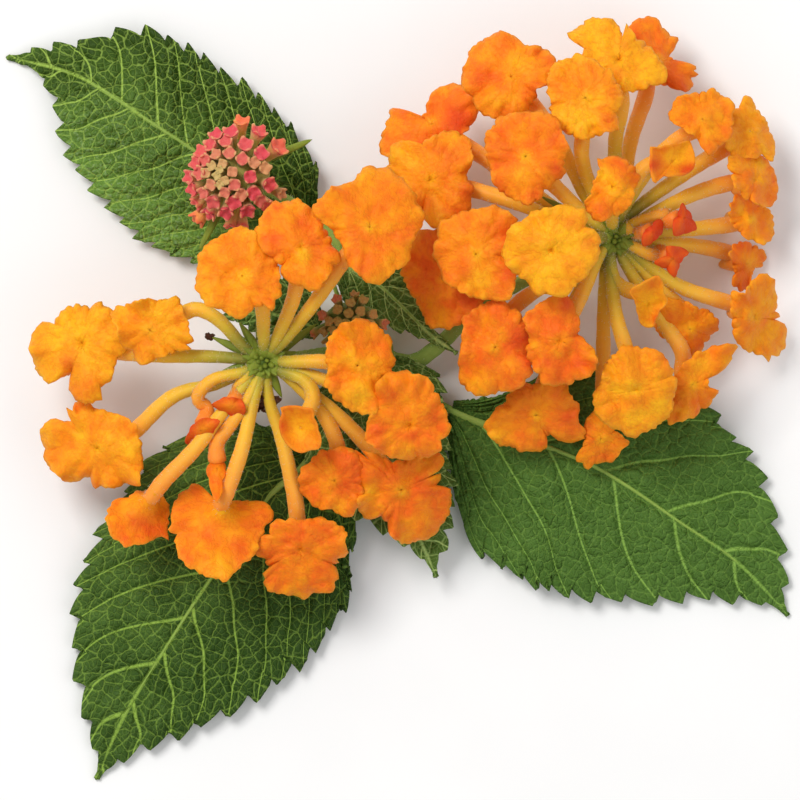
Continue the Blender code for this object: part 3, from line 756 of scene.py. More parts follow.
LEFT_CENTRE = (266, 361, 13.1)
LEFT_FLORETS = (
    Floret(85, 344, 12.0, (-0.3, 0.1, 0.93), ((215, 357), (170, 356), (128, 353)), (
        (128, 348), (123, 334), (116, 316), (108, 310), (101, 304), (93, 312), (80, 307), (64, 314),
        (63, 319), (56, 326), (48, 323), (40, 329), (35, 342), (36, 354), (41, 368), (51, 384), (62, 376),
        (76, 370), (71, 385), (80, 400), (92, 402), (103, 397), (101, 386), (111, 380), (115, 366),
        (121, 357)), 0.3, ((74, 360, 9, 0.5), (80, 388, 12, 0.5), (75, 330, 18, -0.4), (68, 362, 6, 0.4))),
    Floret(153, 331, 15.5, (-0.2, -0.15, 0.95), ((245, 347), (222, 322), (200, 310), (182, 316)), (
        (194, 350), (193, 340), (190, 325), (184, 312), (180, 301), (176, 298), (173, 302), (164, 304),
        (150, 300), (138, 302), (128, 307), (121, 308), (116, 317), (120, 330), (126, 342), (137, 354),
        (141, 360), (146, 364), (156, 359), (168, 355), (177, 349), (184, 345), (190, 348)), 0.32,
        ((150, 343, 11, 0.4), (180, 318, 6, 0.3), (160, 309, 12, -0.3))),
    Floret(245, 278, 22.0, (-0.15, 0.2, 0.97), ((265, 335), (263, 305)), (
        (281, 272), (282, 285), (279, 300), (272, 311), (265, 304), (256, 308), (248, 315), (237, 317),
        (229, 314), (227, 311), (216, 307), (208, 302), (200, 287), (203, 277), (202, 266), (208, 250),
        (217, 242), (228, 236), (239, 232), (247, 233), (256, 236), (266, 244), (274, 258)), 0.55,
        ((240, 258, 12, 0.3), (263, 272, 12, 0.5), (225, 283, 6, 0.3), (270, 302, 6, 0.3),
        (215, 292, 14, -0.4), (250, 280, 6, -0.6))),
    Floret(302, 250, 22.5, (0.05, 0.2, 0.97), ((280, 335), (296, 295)), (
        (341, 257), (334, 268), (326, 280), (318, 290), (311, 291), (303, 285), (292, 284), (286, 277),
        (284, 266), (276, 258), (267, 253), (261, 243), (261, 230), (265, 219), (278, 207), (290, 206),
        (299, 203), (307, 208), (317, 217), (324, 226), (327, 240), (333, 250)), 0.72, ((302, 225, 7, 0.7),
        (315, 245, 10, 0.7), (275, 242, 5, 0.4), (305, 257, 7, -0.7), (315, 262, 7, 0.5))),
    Floret(370, 230, 22.0, (0.25, 0.3, 0.9), ((288, 338), (318, 300), (347, 258)), (
        (422, 219), (418, 232), (410, 246), (407, 258), (400, 270), (393, 272), (388, 280), (377, 285),
        (366, 281), (357, 272), (349, 266), (347, 250), (342, 240), (332, 228), (318, 218), (317, 211),
        (328, 197), (345, 188), (356, 188), (357, 181), (370, 172), (382, 173), (396, 178), (408, 190),
        (414, 204)), 0.66, ((356, 238, 10, 0.6), (362, 274, 9, 0.6), (360, 205, 10, 0.25),
        (395, 235, 8, 0.35), (370, 183, 12, -0.3))),
    Floret(358, 366, 18.0, (0.3, 0.05, 0.94), ((290, 362), (325, 362)), (
        (390, 352), (392, 360), (389, 370), (388, 384), (380, 400), (376, 413), (362, 412), (348, 407),
        (343, 401), (334, 394), (326, 385), (328, 376), (331, 369), (329, 358), (328, 348), (331, 339),
        (337, 331), (346, 325), (356, 321), (366, 323), (377, 328), (385, 335), (390, 344)), 0.62,
        ((355, 372, 9, 0.3), (372, 344, 8, 0.4), (350, 358, 8, -0.5), (360, 398, 14, -0.5),
        (336, 385, 7, 0.4))),
    Floret(410, 426, 16.0, (0.25, -0.2, 0.93), ((300, 372), (350, 390)), (
        (447, 424), (446, 433), (440, 440), (437, 450), (428, 456), (416, 455), (406, 457), (396, 457),
        (383, 451), (373, 442), (367, 438), (368, 426), (373, 412), (379, 401), (376, 392), (381, 380),
        (393, 374), (406, 374), (420, 377), (431, 383), (433, 393), (440, 402), (445, 412)), 0.72,
        ((378, 430, 8, 0.7), (432, 416, 9, 0.6), (412, 434, 5, 0.7), (392, 392, 9, 0.5), (382, 446, 7, 0.5),
        (408, 448, 9, -0.4))),
    Floret(335, 480, 12.5, (-0.1, -0.3, 0.93), ((290, 378), (315, 402), (330, 425), (338, 447)), (
        (362, 470), (360, 484), (362, 496), (357, 505), (348, 515), (340, 512), (332, 507), (322, 506),
        (313, 500), (306, 494), (301, 484), (301, 474), (306, 466), (313, 461), (319, 454), (327, 450),
        (338, 448), (350, 450), (359, 460)), 0.82, ((345, 487, 10, 0.8), (354, 466, 12, 0.6),
        (340, 508, 9, -0.4))),
    Floret(401, 489, 10.8, (0.25, -0.35, 0.88), ((300, 385), (335, 412), (368, 446)), (
        (425, 479), (440, 473), (443, 463), (437, 452), (425, 458), (412, 455), (404, 461), (392, 465),
        (378, 466), (366, 452), (353, 439), (348, 446), (361, 464), (359, 474), (362, 490), (358, 506),
        (366, 516), (374, 517), (382, 513), (389, 520), (391, 536), (403, 540), (416, 539), (430, 534),
        (438, 524), (446, 511), (450, 500), (446, 488), (434, 486)), 0.78, ((393, 478, 8, 0.6),
        (393, 515, 11, 0.6), (422, 488, 8, 0.3), (365, 465, 10, 0.4), (368, 490, 9, -0.5),
        (410, 532, 10, -0.3))),
    Floret(300, 548, 10.5, (0.05, -0.4, 0.9), ((270, 400), (283, 440), (296, 500)), (
        (344, 536), (345, 548), (343, 557), (338, 560), (329, 555), (329, 562), (336, 568), (338, 576),
        (332, 587), (324, 591), (313, 591), (303, 597), (297, 593), (284, 591), (272, 588), (266, 578),
        (266, 569), (274, 564), (273, 557), (265, 560), (258, 554), (258, 543), (264, 535), (272, 534),
        (276, 520), (288, 521), (305, 521), (322, 519), (335, 522), (342, 529)), 0.8, ((325, 558, 7, 0.4),
        (278, 560, 7, 0.4), (300, 545, 12, 0.25), (300, 584, 12, -0.3))),
    Floret(221, 514, 10.4, (-0.1, -0.48, -0.85), ((255, 400), (243, 450), (228, 492)), (
        (275, 516), (272, 509), (264, 503), (250, 502), (236, 504), (226, 506), (214, 502), (209, 494),
        (203, 488), (195, 486), (187, 492), (180, 501), (174, 513), (175, 524), (171, 528), (180, 533),
        (178, 546), (184, 558), (196, 567), (206, 572), (216, 576), (226, 577), (237, 570), (244, 561),
        (252, 555), (258, 546), (258, 536), (266, 526)), 0.72, ((240, 548, 9, 0.7), (182, 524, 8, 0.4),
        (252, 524, 10, 0.5), (222, 570, 14, -0.5), (196, 492, 8, 0.3))),
    Floret(143, 508, 9.6, (-0.4, -0.45, -0.75), ((222, 415), (197, 448), (166, 480)), (
        (168, 505), (169, 518), (167, 530), (168, 538), (163, 535), (150, 540), (138, 541), (128, 545),
        (122, 539), (115, 535), (110, 522), (110, 511), (117, 500), (128, 500), (140, 497), (155, 495)), 0.75,
        ((137, 520, 8, 0.7), (152, 528, 10, 0.7), (118, 508, 8, 0.2))),
    Floret(100, 448, 10.5, (-0.4, -0.15, 0.89), ((220, 383), (175, 396), (136, 431)), (
        (143, 458), (142, 472), (140, 484), (128, 480), (114, 486), (104, 483), (98, 487), (93, 477),
        (86, 475), (78, 480), (67, 479), (56, 471), (50, 461), (47, 455), (49, 446), (44, 436), (46, 427),
        (52, 420), (60, 420), (68, 424), (74, 420), (76, 414), (70, 407), (78, 404), (90, 404), (98, 410),
        (112, 413), (124, 417), (138, 428), (140, 438), (142, 448)), 0.42, ((75, 445, 6, 0.6),
        (104, 462, 7, 0.3), (80, 408, 6, 0.6), (130, 446, 9, -0.7), (85, 434, 8, -0.3), (98, 484, 5, 0.6))),
    Floret(203, 430, 13.6, (-0.2, -0.7, 0.5), ((245, 372), (214, 380), (199, 398)), (
        (222, 420), (216, 428), (209, 436), (200, 440), (190, 443), (187, 441), (192, 431), (198, 423),
        (205, 418), (214, 420)), 0.6, ((200, 436, 8, 0.6),), Opening.TIP, red=0.9),
    Floret(234, 406, 14.6, (-0.2, -0.6, 0.7), ((255, 368), (241, 386)), (
        (247, 411), (241, 415), (231, 413), (221, 408), (214, 404), (222, 400), (231, 398), (239, 399)), 0.6,
        ((236, 410, 8, 0.5),), Opening.TIP, red=0.9),
    Floret(302, 428, 16.5, (-0.05, -0.25, 0.95), ((278, 370), (305, 380), (314, 398)), (
        (319, 430), (322, 441), (320, 448), (311, 449), (302, 452), (293, 448), (286, 440), (282, 431),
        (281, 422), (284, 414), (282, 408), (294, 406), (306, 408), (314, 409), (315, 418)), 0.35,
        ((300, 428, 12, -0.8), (285, 425, 6, 0.5)), Opening.CUP, red=0.35),
    Floret(219, 468, 12.0, (0.0, -0.8, -0.2), ((250, 398), (232, 425)), (
        (226, 470), (223, 480), (224, 492), (218, 502), (214, 492), (212, 478), (212, 464), (220, 460)), 0.8,
        ((219, 464, 7, 0.6),), Opening.TIP, red=0.1),
)
RIGHT_CENTRE = (612, 238, 12.1)
RIGHT_FLORETS = (
    Floret(510, 80, 14.0, (-0.2, 0.25, 0.94), ((585, 200), (555, 140)), (
        (556, 72), (549, 84), (535, 92), (530, 104), (524, 116), (512, 118), (500, 121), (491, 119),
        (479, 111), (474, 101), (466, 92), (464, 80), (467, 68), (472, 54), (483, 44), (493, 38), (501, 36),
        (510, 40), (516, 42), (523, 51), (538, 51), (549, 59)), 0.66, ((478, 78, 12, 0.5), (498, 58, 8, 0.3),
        (535, 92, 8, 0.5), (506, 116, 8, 0.6), (525, 72, 12, -0.2), (500, 105, 12, -0.3))),
    Floret(583, 102, 18.0, (-0.1, 0.2, 0.96), ((598, 210), (580, 160)), (
        (619, 100), (617, 109), (613, 118), (613, 133), (603, 136), (592, 137), (584, 141), (573, 139),
        (562, 133), (554, 124), (550, 115), (550, 104), (548, 94), (549, 80), (554, 68), (566, 62), (578, 60),
        (589, 64), (601, 73), (612, 84), (617, 91)), 0.42, ((605, 124, 7, 0.7), (598, 85, 10, 0.3),
        (608, 98, 6, 0.3), (575, 75, 12, 0.2), (570, 125, 16, -0.7), (580, 108, 8, 0.3))),
    Floret(617, 63, 12.5, (0.1, 0.35, 0.9), ((612, 190), (614, 140), (620, 105)), (
        (664, 78), (658, 87), (648, 88), (638, 92), (626, 93), (614, 91), (604, 82), (592, 72), (582, 62),
        (582, 50), (574, 46), (571, 39), (575, 33), (582, 30), (588, 23), (600, 23), (612, 24), (624, 29),
        (627, 32), (621, 42), (634, 42), (645, 50), (656, 64), (663, 70)), 0.12, ((622, 47, 6, 0.5),
        (615, 74, 8, 0.3), (645, 52, 6, 0.3))),
    Floret(655, 64, 8.0, (0.4, 0.35, 0.8), ((622, 190), (630, 140), (645, 95)), (
        (675, 63), (688, 71), (696, 70), (697, 76), (689, 78), (690, 86), (686, 93), (677, 91), (664, 84),
        (652, 84), (640, 72), (634, 58), (630, 42), (631, 31), (637, 22), (645, 20), (656, 21), (659, 28),
        (668, 36), (675, 42), (673, 47), (664, 60)), 0.8, ((636, 38, 7, 0.8), (660, 52, 7, 0.4),
        (673, 68, 8, 0.7), (682, 88, 8, 0.6), (648, 28, 6, -0.2))),
    Floret(524, 160, 20.0, (-0.15, 0.15, 0.97), ((590, 222), (560, 195)), (
        (564, 150), (561, 163), (559, 178), (550, 186), (540, 193), (536, 203), (530, 206), (515, 202),
        (503, 195), (497, 187), (492, 180), (491, 170), (487, 160), (485, 149), (488, 138), (492, 130),
        (500, 122), (514, 118), (526, 118), (540, 117), (552, 124), (560, 137)), 0.7, ((552, 145, 10, 0.8),
        (500, 148, 13, 0.5), (553, 172, 7, 0.8), (498, 168, 6, 0.6), (533, 199, 7, 0.7), (497, 186, 7, 0.6),
        (520, 182, 13, -0.3))),
    Floret(430, 182, 12.5, (-0.25, 0.05, 0.95), ((575, 232), (530, 210), (480, 193)), (
        (470, 150), (472, 160), (466, 172), (464, 182), (469, 190), (469, 203), (465, 213), (455, 220),
        (442, 228), (434, 228), (425, 220), (424, 211), (415, 206), (404, 195), (394, 182), (388, 171),
        (392, 160), (394, 149), (404, 143), (415, 145), (422, 149), (432, 141), (444, 136), (456, 135),
        (466, 140)), 0.6, ((465, 192, 9, 0.9), (460, 213, 8, 0.6), (458, 160, 12, 0.4), (440, 150, 6, 0.3),
        (428, 200, 12, 0.3), (405, 165, 16, -0.4), (436, 216, 9, -0.3))),
    Floret(432, 126, 9.5, (-0.25, 0.35, 0.88), ((570, 220), (510, 178), (464, 146)), (
        (476, 105), (474, 118), (466, 133), (456, 140), (440, 150), (420, 155), (400, 157), (385, 158),
        (382, 150), (383, 140), (388, 130), (390, 118), (393, 111), (404, 112), (416, 117), (424, 120),
        (428, 116), (427, 106), (433, 96), (442, 89), (452, 87), (462, 90), (470, 96)), 0.85,
        ((458, 118, 12, 1.0), (456, 132, 9, 0.8), (435, 112, 9, 0.3), (395, 125, 9, -0.4),
        (445, 97, 10, -0.2))),
    Floret(475, 256, 18.0, (-0.2, -0.05, 0.97), ((585, 245), (530, 252)), (
        (515, 225), (509, 232), (506, 245), (504, 258), (509, 270), (513, 279), (511, 292), (505, 299),
        (490, 300), (478, 299), (466, 295), (454, 289), (446, 281), (441, 268), (437, 258), (435, 249),
        (438, 240), (440, 230), (450, 222), (462, 216), (475, 213), (488, 211), (500, 213), (510, 217)), 0.7,
        ((508, 275, 10, 0.8), (503, 240, 9, 0.6), (462, 275, 8, 0.6), (463, 230, 7, 0.4), (495, 292, 8, 0.5),
        (480, 285, 13, -0.5))),
    Floret(549, 252, 22.5, (-0.1, 0.0, 0.99), ((598, 240), (572, 246)), (
        (596, 245), (593, 256), (588, 268), (583, 277), (573, 284), (565, 295), (554, 297), (544, 294),
        (534, 293), (529, 286), (525, 279), (515, 276), (508, 268), (503, 256), (507, 245), (507, 235),
        (514, 227), (526, 221), (538, 213), (552, 210), (568, 211), (581, 215), (584, 222), (580, 229),
        (588, 233), (594, 239)), 0.18, ((568, 226, 6, 0.5), (585, 245, 8, 0.6), (530, 240, 9, 0.3),
        (522, 262, 6, 0.3), (568, 268, 6, 0.3), (560, 285, 7, 0.2))),
    Floret(442, 280, 12.0, (-0.3, -0.1, 0.94), ((585, 250), (520, 268), (475, 278)), (
        (483, 300), (477, 309), (466, 317), (458, 324), (445, 327), (432, 325), (425, 317), (421, 308),
        (416, 298), (409, 287), (403, 274), (407, 262), (411, 250), (414, 240), (424, 233), (440, 232),
        (460, 240), (475, 260), (483, 280)), 0.85, ((411, 262, 5, 0.6), (470, 302, 13, 0.8),
        (428, 272, 12, 0.4), (440, 318, 12, -0.4))),
    Floret(494, 348, 16.0, (-0.2, -0.2, 0.95), ((590, 258), (540, 288), (510, 312)), (
        (530, 335), (528, 350), (525, 358), (528, 367), (529, 375), (520, 385), (511, 389), (498, 390),
        (484, 395), (474, 392), (466, 386), (460, 378), (460, 366), (459, 355), (463, 342), (464, 330),
        (463, 318), (472, 311), (484, 306), (500, 303), (508, 307), (514, 314), (526, 325)), 0.9,
        ((517, 338, 14, 1.0), (527, 362, 9, 0.9), (470, 315, 10, 0.5), (502, 338, 6, -0.5),
        (480, 385, 14, -0.5), (483, 360, 10, 0.2))),
    Floret(558, 342, 17.5, (0.0, -0.22, 0.97), ((597, 258), (578, 300)), (
        (594, 358), (593, 368), (585, 375), (572, 380), (560, 383), (548, 384), (540, 381), (536, 371),
        (531, 362), (528, 350), (529, 338), (526, 327), (524, 318), (531, 311), (541, 304), (552, 299),
        (563, 297), (569, 304), (573, 316), (576, 326), (574, 334), (581, 342), (589, 349)), 0.88,
        ((546, 360, 7, 0.7), (564, 304, 9, 0.9), (573, 336, 6, 0.6), (578, 366, 7, 0.6), (533, 345, 5, -0.4),
        (590, 352, 6, -0.4), (535, 316, 6, 0.5))),
    Floret(535, 415, 10.0, (-0.1, -0.45, 0.87), ((592, 265), (565, 320), (545, 378)), (
        (576, 412), (575, 420), (583, 430), (582, 438), (570, 440), (558, 439), (549, 432), (544, 433),
        (545, 446), (532, 449), (518, 449), (512, 443), (499, 443), (491, 436), (486, 429), (488, 420),
        (498, 411), (508, 402), (511, 390), (520, 386), (540, 386), (562, 383), (568, 395), (575, 405)), 0.72,
        ((566, 418, 13, 0.9), (556, 392, 10, 0.5), (515, 415, 12, 0.2), (500, 432, 12, -0.4))),
    Floret(600, 438, 8.4, (0.1, -0.45, 0.85), ((604, 268), (602, 330), (602, 415)), (
        (626, 441), (621, 449), (612, 458), (603, 460), (593, 462), (589, 466), (582, 461), (576, 455),
        (584, 446), (585, 436), (584, 426), (590, 415), (600, 412), (610, 420), (614, 430), (619, 435)), 0.72,
        ((590, 450, 8, 0.3), (587, 425, 6, 0.4))),
    Floret(633, 390, 15.0, (0.1, -0.28, 0.95), ((608, 262), (614, 315), (624, 350)), (
        (672, 385), (669, 400), (666, 415), (655, 421), (645, 429), (635, 433), (622, 432), (612, 425),
        (603, 421), (596, 412), (593, 402), (595, 390), (599, 380), (603, 368), (609, 357), (618, 351),
        (630, 348), (645, 349), (658, 355), (667, 368)), 0.42, ((636, 372, 9, 0.5), (630, 403, 7, 0.5),
        (632, 416, 10, -0.6), (656, 408, 8, -0.5), (612, 385, 14, -0.2), (664, 358, 8, 0.5))),
    Floret(690, 385, 10.0, (0.35, -0.35, 0.85), ((622, 262), (655, 315), (680, 350)), (
        (704, 380), (708, 388), (716, 391), (710, 398), (698, 409), (689, 417), (678, 419), (668, 423),
        (666, 414), (669, 400), (672, 385), (678, 372), (686, 362), (700, 353), (720, 347), (737, 346),
        (728, 354), (726, 364), (717, 372)), 0.62, ((676, 388, 9, 0.5), (672, 402, 8, 0.5),
        (700, 395, 10, 0.2), (700, 362, 10, -0.3))),
    Floret(688, 330, 8.5, (0.4, -0.3, 0.7), ((628, 258), (665, 295), (688, 318)), (
        (712, 318), (716, 330), (710, 334), (702, 341), (699, 351), (688, 356), (676, 348), (664, 338),
        (652, 326), (650, 310), (662, 300), (680, 302), (698, 310)), 0.62, ((714, 338, 7, 0.7),
        (668, 318, 10, 0.3))),
    Floret(752, 318, 8.0, (0.75, -0.25, 0.6), ((635, 258), (680, 288), (735, 306)), (
        (766, 319), (777, 317), (784, 326), (785, 336), (781, 348), (776, 355), (769, 354), (766, 360),
        (761, 354), (750, 350), (741, 346), (735, 342), (732, 330), (733, 318), (729, 299), (731, 292),
        (738, 293), (743, 294), (748, 286), (753, 279), (758, 276), (766, 278), (773, 281), (771, 288),
        (774, 300), (772, 312)), 0.48, ((742, 325, 9, 0.6), (745, 297, 8, 0.3), (752, 305, 8, 0.2))),
    Floret(745, 264, 3.63, (0.8, -0.1, 0.58), ((640, 242), (690, 246), (730, 254)), (
        (763, 262), (760, 266), (754, 267), (751, 272), (750, 279), (748, 287), (745, 292), (738, 288),
        (731, 284), (733, 275), (732, 264), (728, 255), (733, 245), (742, 243), (752, 246), (758, 250),
        (764, 254)), 0.72, ((742, 285, 7, 0.7), (741, 265, 5, 0.6), (738, 246, 6, 0.4))),
    Floret(748, 218, 6.6, (0.75, 0.1, 0.65), ((640, 234), (690, 230), (734, 224)), (
        (771, 225), (770, 238), (763, 244), (750, 240), (738, 232), (732, 226), (729, 220), (727, 213),
        (730, 204), (733, 198), (741, 194), (750, 197), (756, 205), (764, 208), (769, 215)), 0.55,
        ((748, 212, 6, 0.7), (762, 214, 6, 0.3), (740, 212, 6, -0.7))),
    Floret(752, 182, 9.2, (0.75, 0.25, 0.6), ((638, 222), (690, 196), (733, 183)), (
        (774, 178), (773, 190), (774, 201), (768, 208), (757, 205), (747, 200), (738, 193), (731, 186),
        (732, 175), (725, 168), (726, 160), (738, 157), (750, 158), (760, 157), (766, 165), (771, 173)), 0.6,
        ((748, 175, 6, 0.6), (766, 198, 9, 0.5), (750, 188, 8, 0.4), (757, 165, 7, -0.6))),
    Floret(748, 133, 8.0, (0.6, 0.4, 0.7), ((632, 212), (690, 170), (730, 146)), (
        (765, 121), (764, 126), (768, 134), (772, 146), (771, 157), (768, 162), (761, 156), (750, 158),
        (738, 160), (728, 155), (724, 142), (728, 128), (730, 114), (738, 111), (742, 104), (744, 98),
        (749, 99), (754, 111), (760, 118)), 0.38, ((735, 135, 8, 0.3), (752, 158, 7, 0.4),
        (748, 108, 8, -0.2))),
    Floret(700, 122, 13.0, (0.2, 0.35, 0.9), ((625, 205), (655, 160), (684, 136)), (
        (730, 107), (730, 118), (728, 130), (727, 138), (718, 145), (712, 152), (705, 157), (702, 151),
        (696, 143), (690, 137), (681, 130), (672, 126), (667, 121), (671, 113), (676, 104), (680, 98),
        (687, 99), (697, 97), (705, 94), (711, 92), (716, 97), (722, 101)), 0.55, ((705, 118, 12, 0.4),
        (722, 112, 5, 0.5), (708, 150, 8, 0.6), (722, 134, 6, 0.5))),
    Floret(610, 190, 18.5, (0.0, 0.3, 0.95), ((610, 222),), (
        (634, 183), (632, 192), (629, 203), (624, 212), (612, 215), (604, 221), (596, 222), (589, 217),
        (583, 209), (583, 203), (590, 197), (592, 187), (595, 178), (598, 171), (595, 163), (601, 161),
        (613, 162), (623, 165), (631, 172)), 0.55, ((600, 210, 9, 0.6), (628, 178, 8, 0.5),
        (600, 178, 7, -0.5), (615, 166, 8, 0.5))),
    Floret(670, 164, 15.0, (0.6, 0.3, 0.7), ((622, 205), (638, 174), (652, 166)), (
        (692, 162), (691, 170), (684, 176), (672, 178), (660, 178), (654, 186), (650, 184), (648, 174),
        (648, 160), (648, 149), (656, 151), (667, 148), (677, 146), (686, 143), (690, 152)), 0.45,
        ((650, 168, 8, 1.0), (688, 172, 6, 0.9), (674, 157, 8, -0.9), (683, 147, 5, -0.6),
        (680, 174, 6, 0.8)), Opening.CUP, red=0.15),
    Floret(681, 220, 13.6, (0.8, 0.1, 0.4), ((630, 226), (662, 216)), (
        (688, 221), (693, 231), (688, 232), (680, 234), (671, 237), (670, 229), (671, 223), (676, 219),
        (677, 211), (679, 205), (683, 212)), 0.9, ((684, 222, 9, 1.0),), Opening.TIP, red=1.0),
    Floret(650, 234, 15.0, (0.6, 0.0, 0.7), ((624, 230),), (
        (659, 230), (655, 238), (650, 242), (644, 246), (640, 247), (639, 241), (643, 234), (649, 228),
        (657, 222), (659, 224)), 0.9, ((652, 233, 9, 1.0),), Opening.TIP, red=0.95),
    Floret(646, 306, 14.0, (0.3, -0.5, 0.8), ((608, 252), (612, 280), (628, 292)), (
        (661, 294), (665, 302), (657, 311), (653, 320), (652, 327), (645, 328), (639, 325), (636, 316),
        (634, 307), (632, 300), (627, 296), (628, 291), (637, 286), (646, 281), (655, 277), (660, 284)), 0.25,
        ((645, 305, 9, -0.9), (650, 285, 7, 0.5), (655, 322, 6, 0.6)), Opening.CUP, red=0.15),
    Floret(670, 260, 13.4, (0.45, -0.3, 0.8), ((628, 246), (650, 256)), (
        (686, 255), (680, 259), (676, 264), (674, 271), (672, 278), (669, 275), (665, 268), (657, 266),
        (651, 263), (656, 260), (664, 258), (665, 253), (664, 248), (672, 248), (681, 251)), 0.9,
        ((672, 257, 8, 0.9),), Opening.TIP, red=0.8),
)
LEFT_BRACTS = ((240, 322, 13.0), (258, 316, 12.6), (232, 331, 14.0), (246, 329, 14.2), (222, 372, 12.2),
               (318, 324, 12.4), (298, 352, 13.0), (253, 398, 13.2), (258, 405, 11.2), (283, 398, 12.0),
               (212, 337, 11.6), (239, 422, 11.6))
RIGHT_BRACTS = ((568, 162, 12.6), (584, 196, 13.0), (538, 197, 12.4), (600, 216, 14.4), (616, 214, 13.8),
                (634, 236, 13.6), (626, 252, 12.8), (602, 286, 11.6), (592, 262, 12.6), (578, 214, 13.2))


def bristles(path: np.ndarray, radii: np.ndarray, count: int, long: float,
             rng: np.random.Generator) -> bmesh.types.BMesh:
    """Short stiff hairs standing on a tube.

    Args:
        path: the tube's middle line.
        radii: its radius at each point.
        count: how many hairs.
        long: their length in millimetres.
        rng: the random draw.
    Returns:
        The hairs, each a closed three-sided spike.
    """
    mesh = bmesh.new()
    layer = mesh.verts.layers.float_color.new("marks")
    ways = np.gradient(path, axis=0)
    ways /= np.linalg.norm(ways, axis=1)[:, None]
    for _ in range(count):
        index = int(rng.integers(2, len(path) - 2))
        way = ways[index]
        side = np.cross(way, rng.normal(size=3))
        side /= np.linalg.norm(side)
        root = path[index] + side * radii[index] * 0.93 + way * rng.uniform(-0.2, 0.2) * MM
        lean = side + way * rng.uniform(-0.2, 0.5)
        tip = root + lean * long * rng.uniform(0.5, 1.1) * MM
        if min(tip[2], root[2]) < LOWEST_HAIR:
            continue
        second = np.cross(way, side)
        corners = [root + (way * math.cos(turn) + second * math.sin(turn)) * HAIR_BASE
                   for turn in (0.0, 2.094, 4.189)]
        low = [mesh.verts.new(corner) for corner in corners]
        top = mesh.verts.new(tip)
        for vert in low + [top]:
            vert[layer] = (0.5, 0.5, 0.0, 1.0)
        mesh.faces.new(low)
        for first in range(3):
            mesh.faces.new((low[first], low[(first + 1) % 3], top))
    bmesh.ops.recalc_face_normals(mesh, faces=mesh.faces)
    return mesh


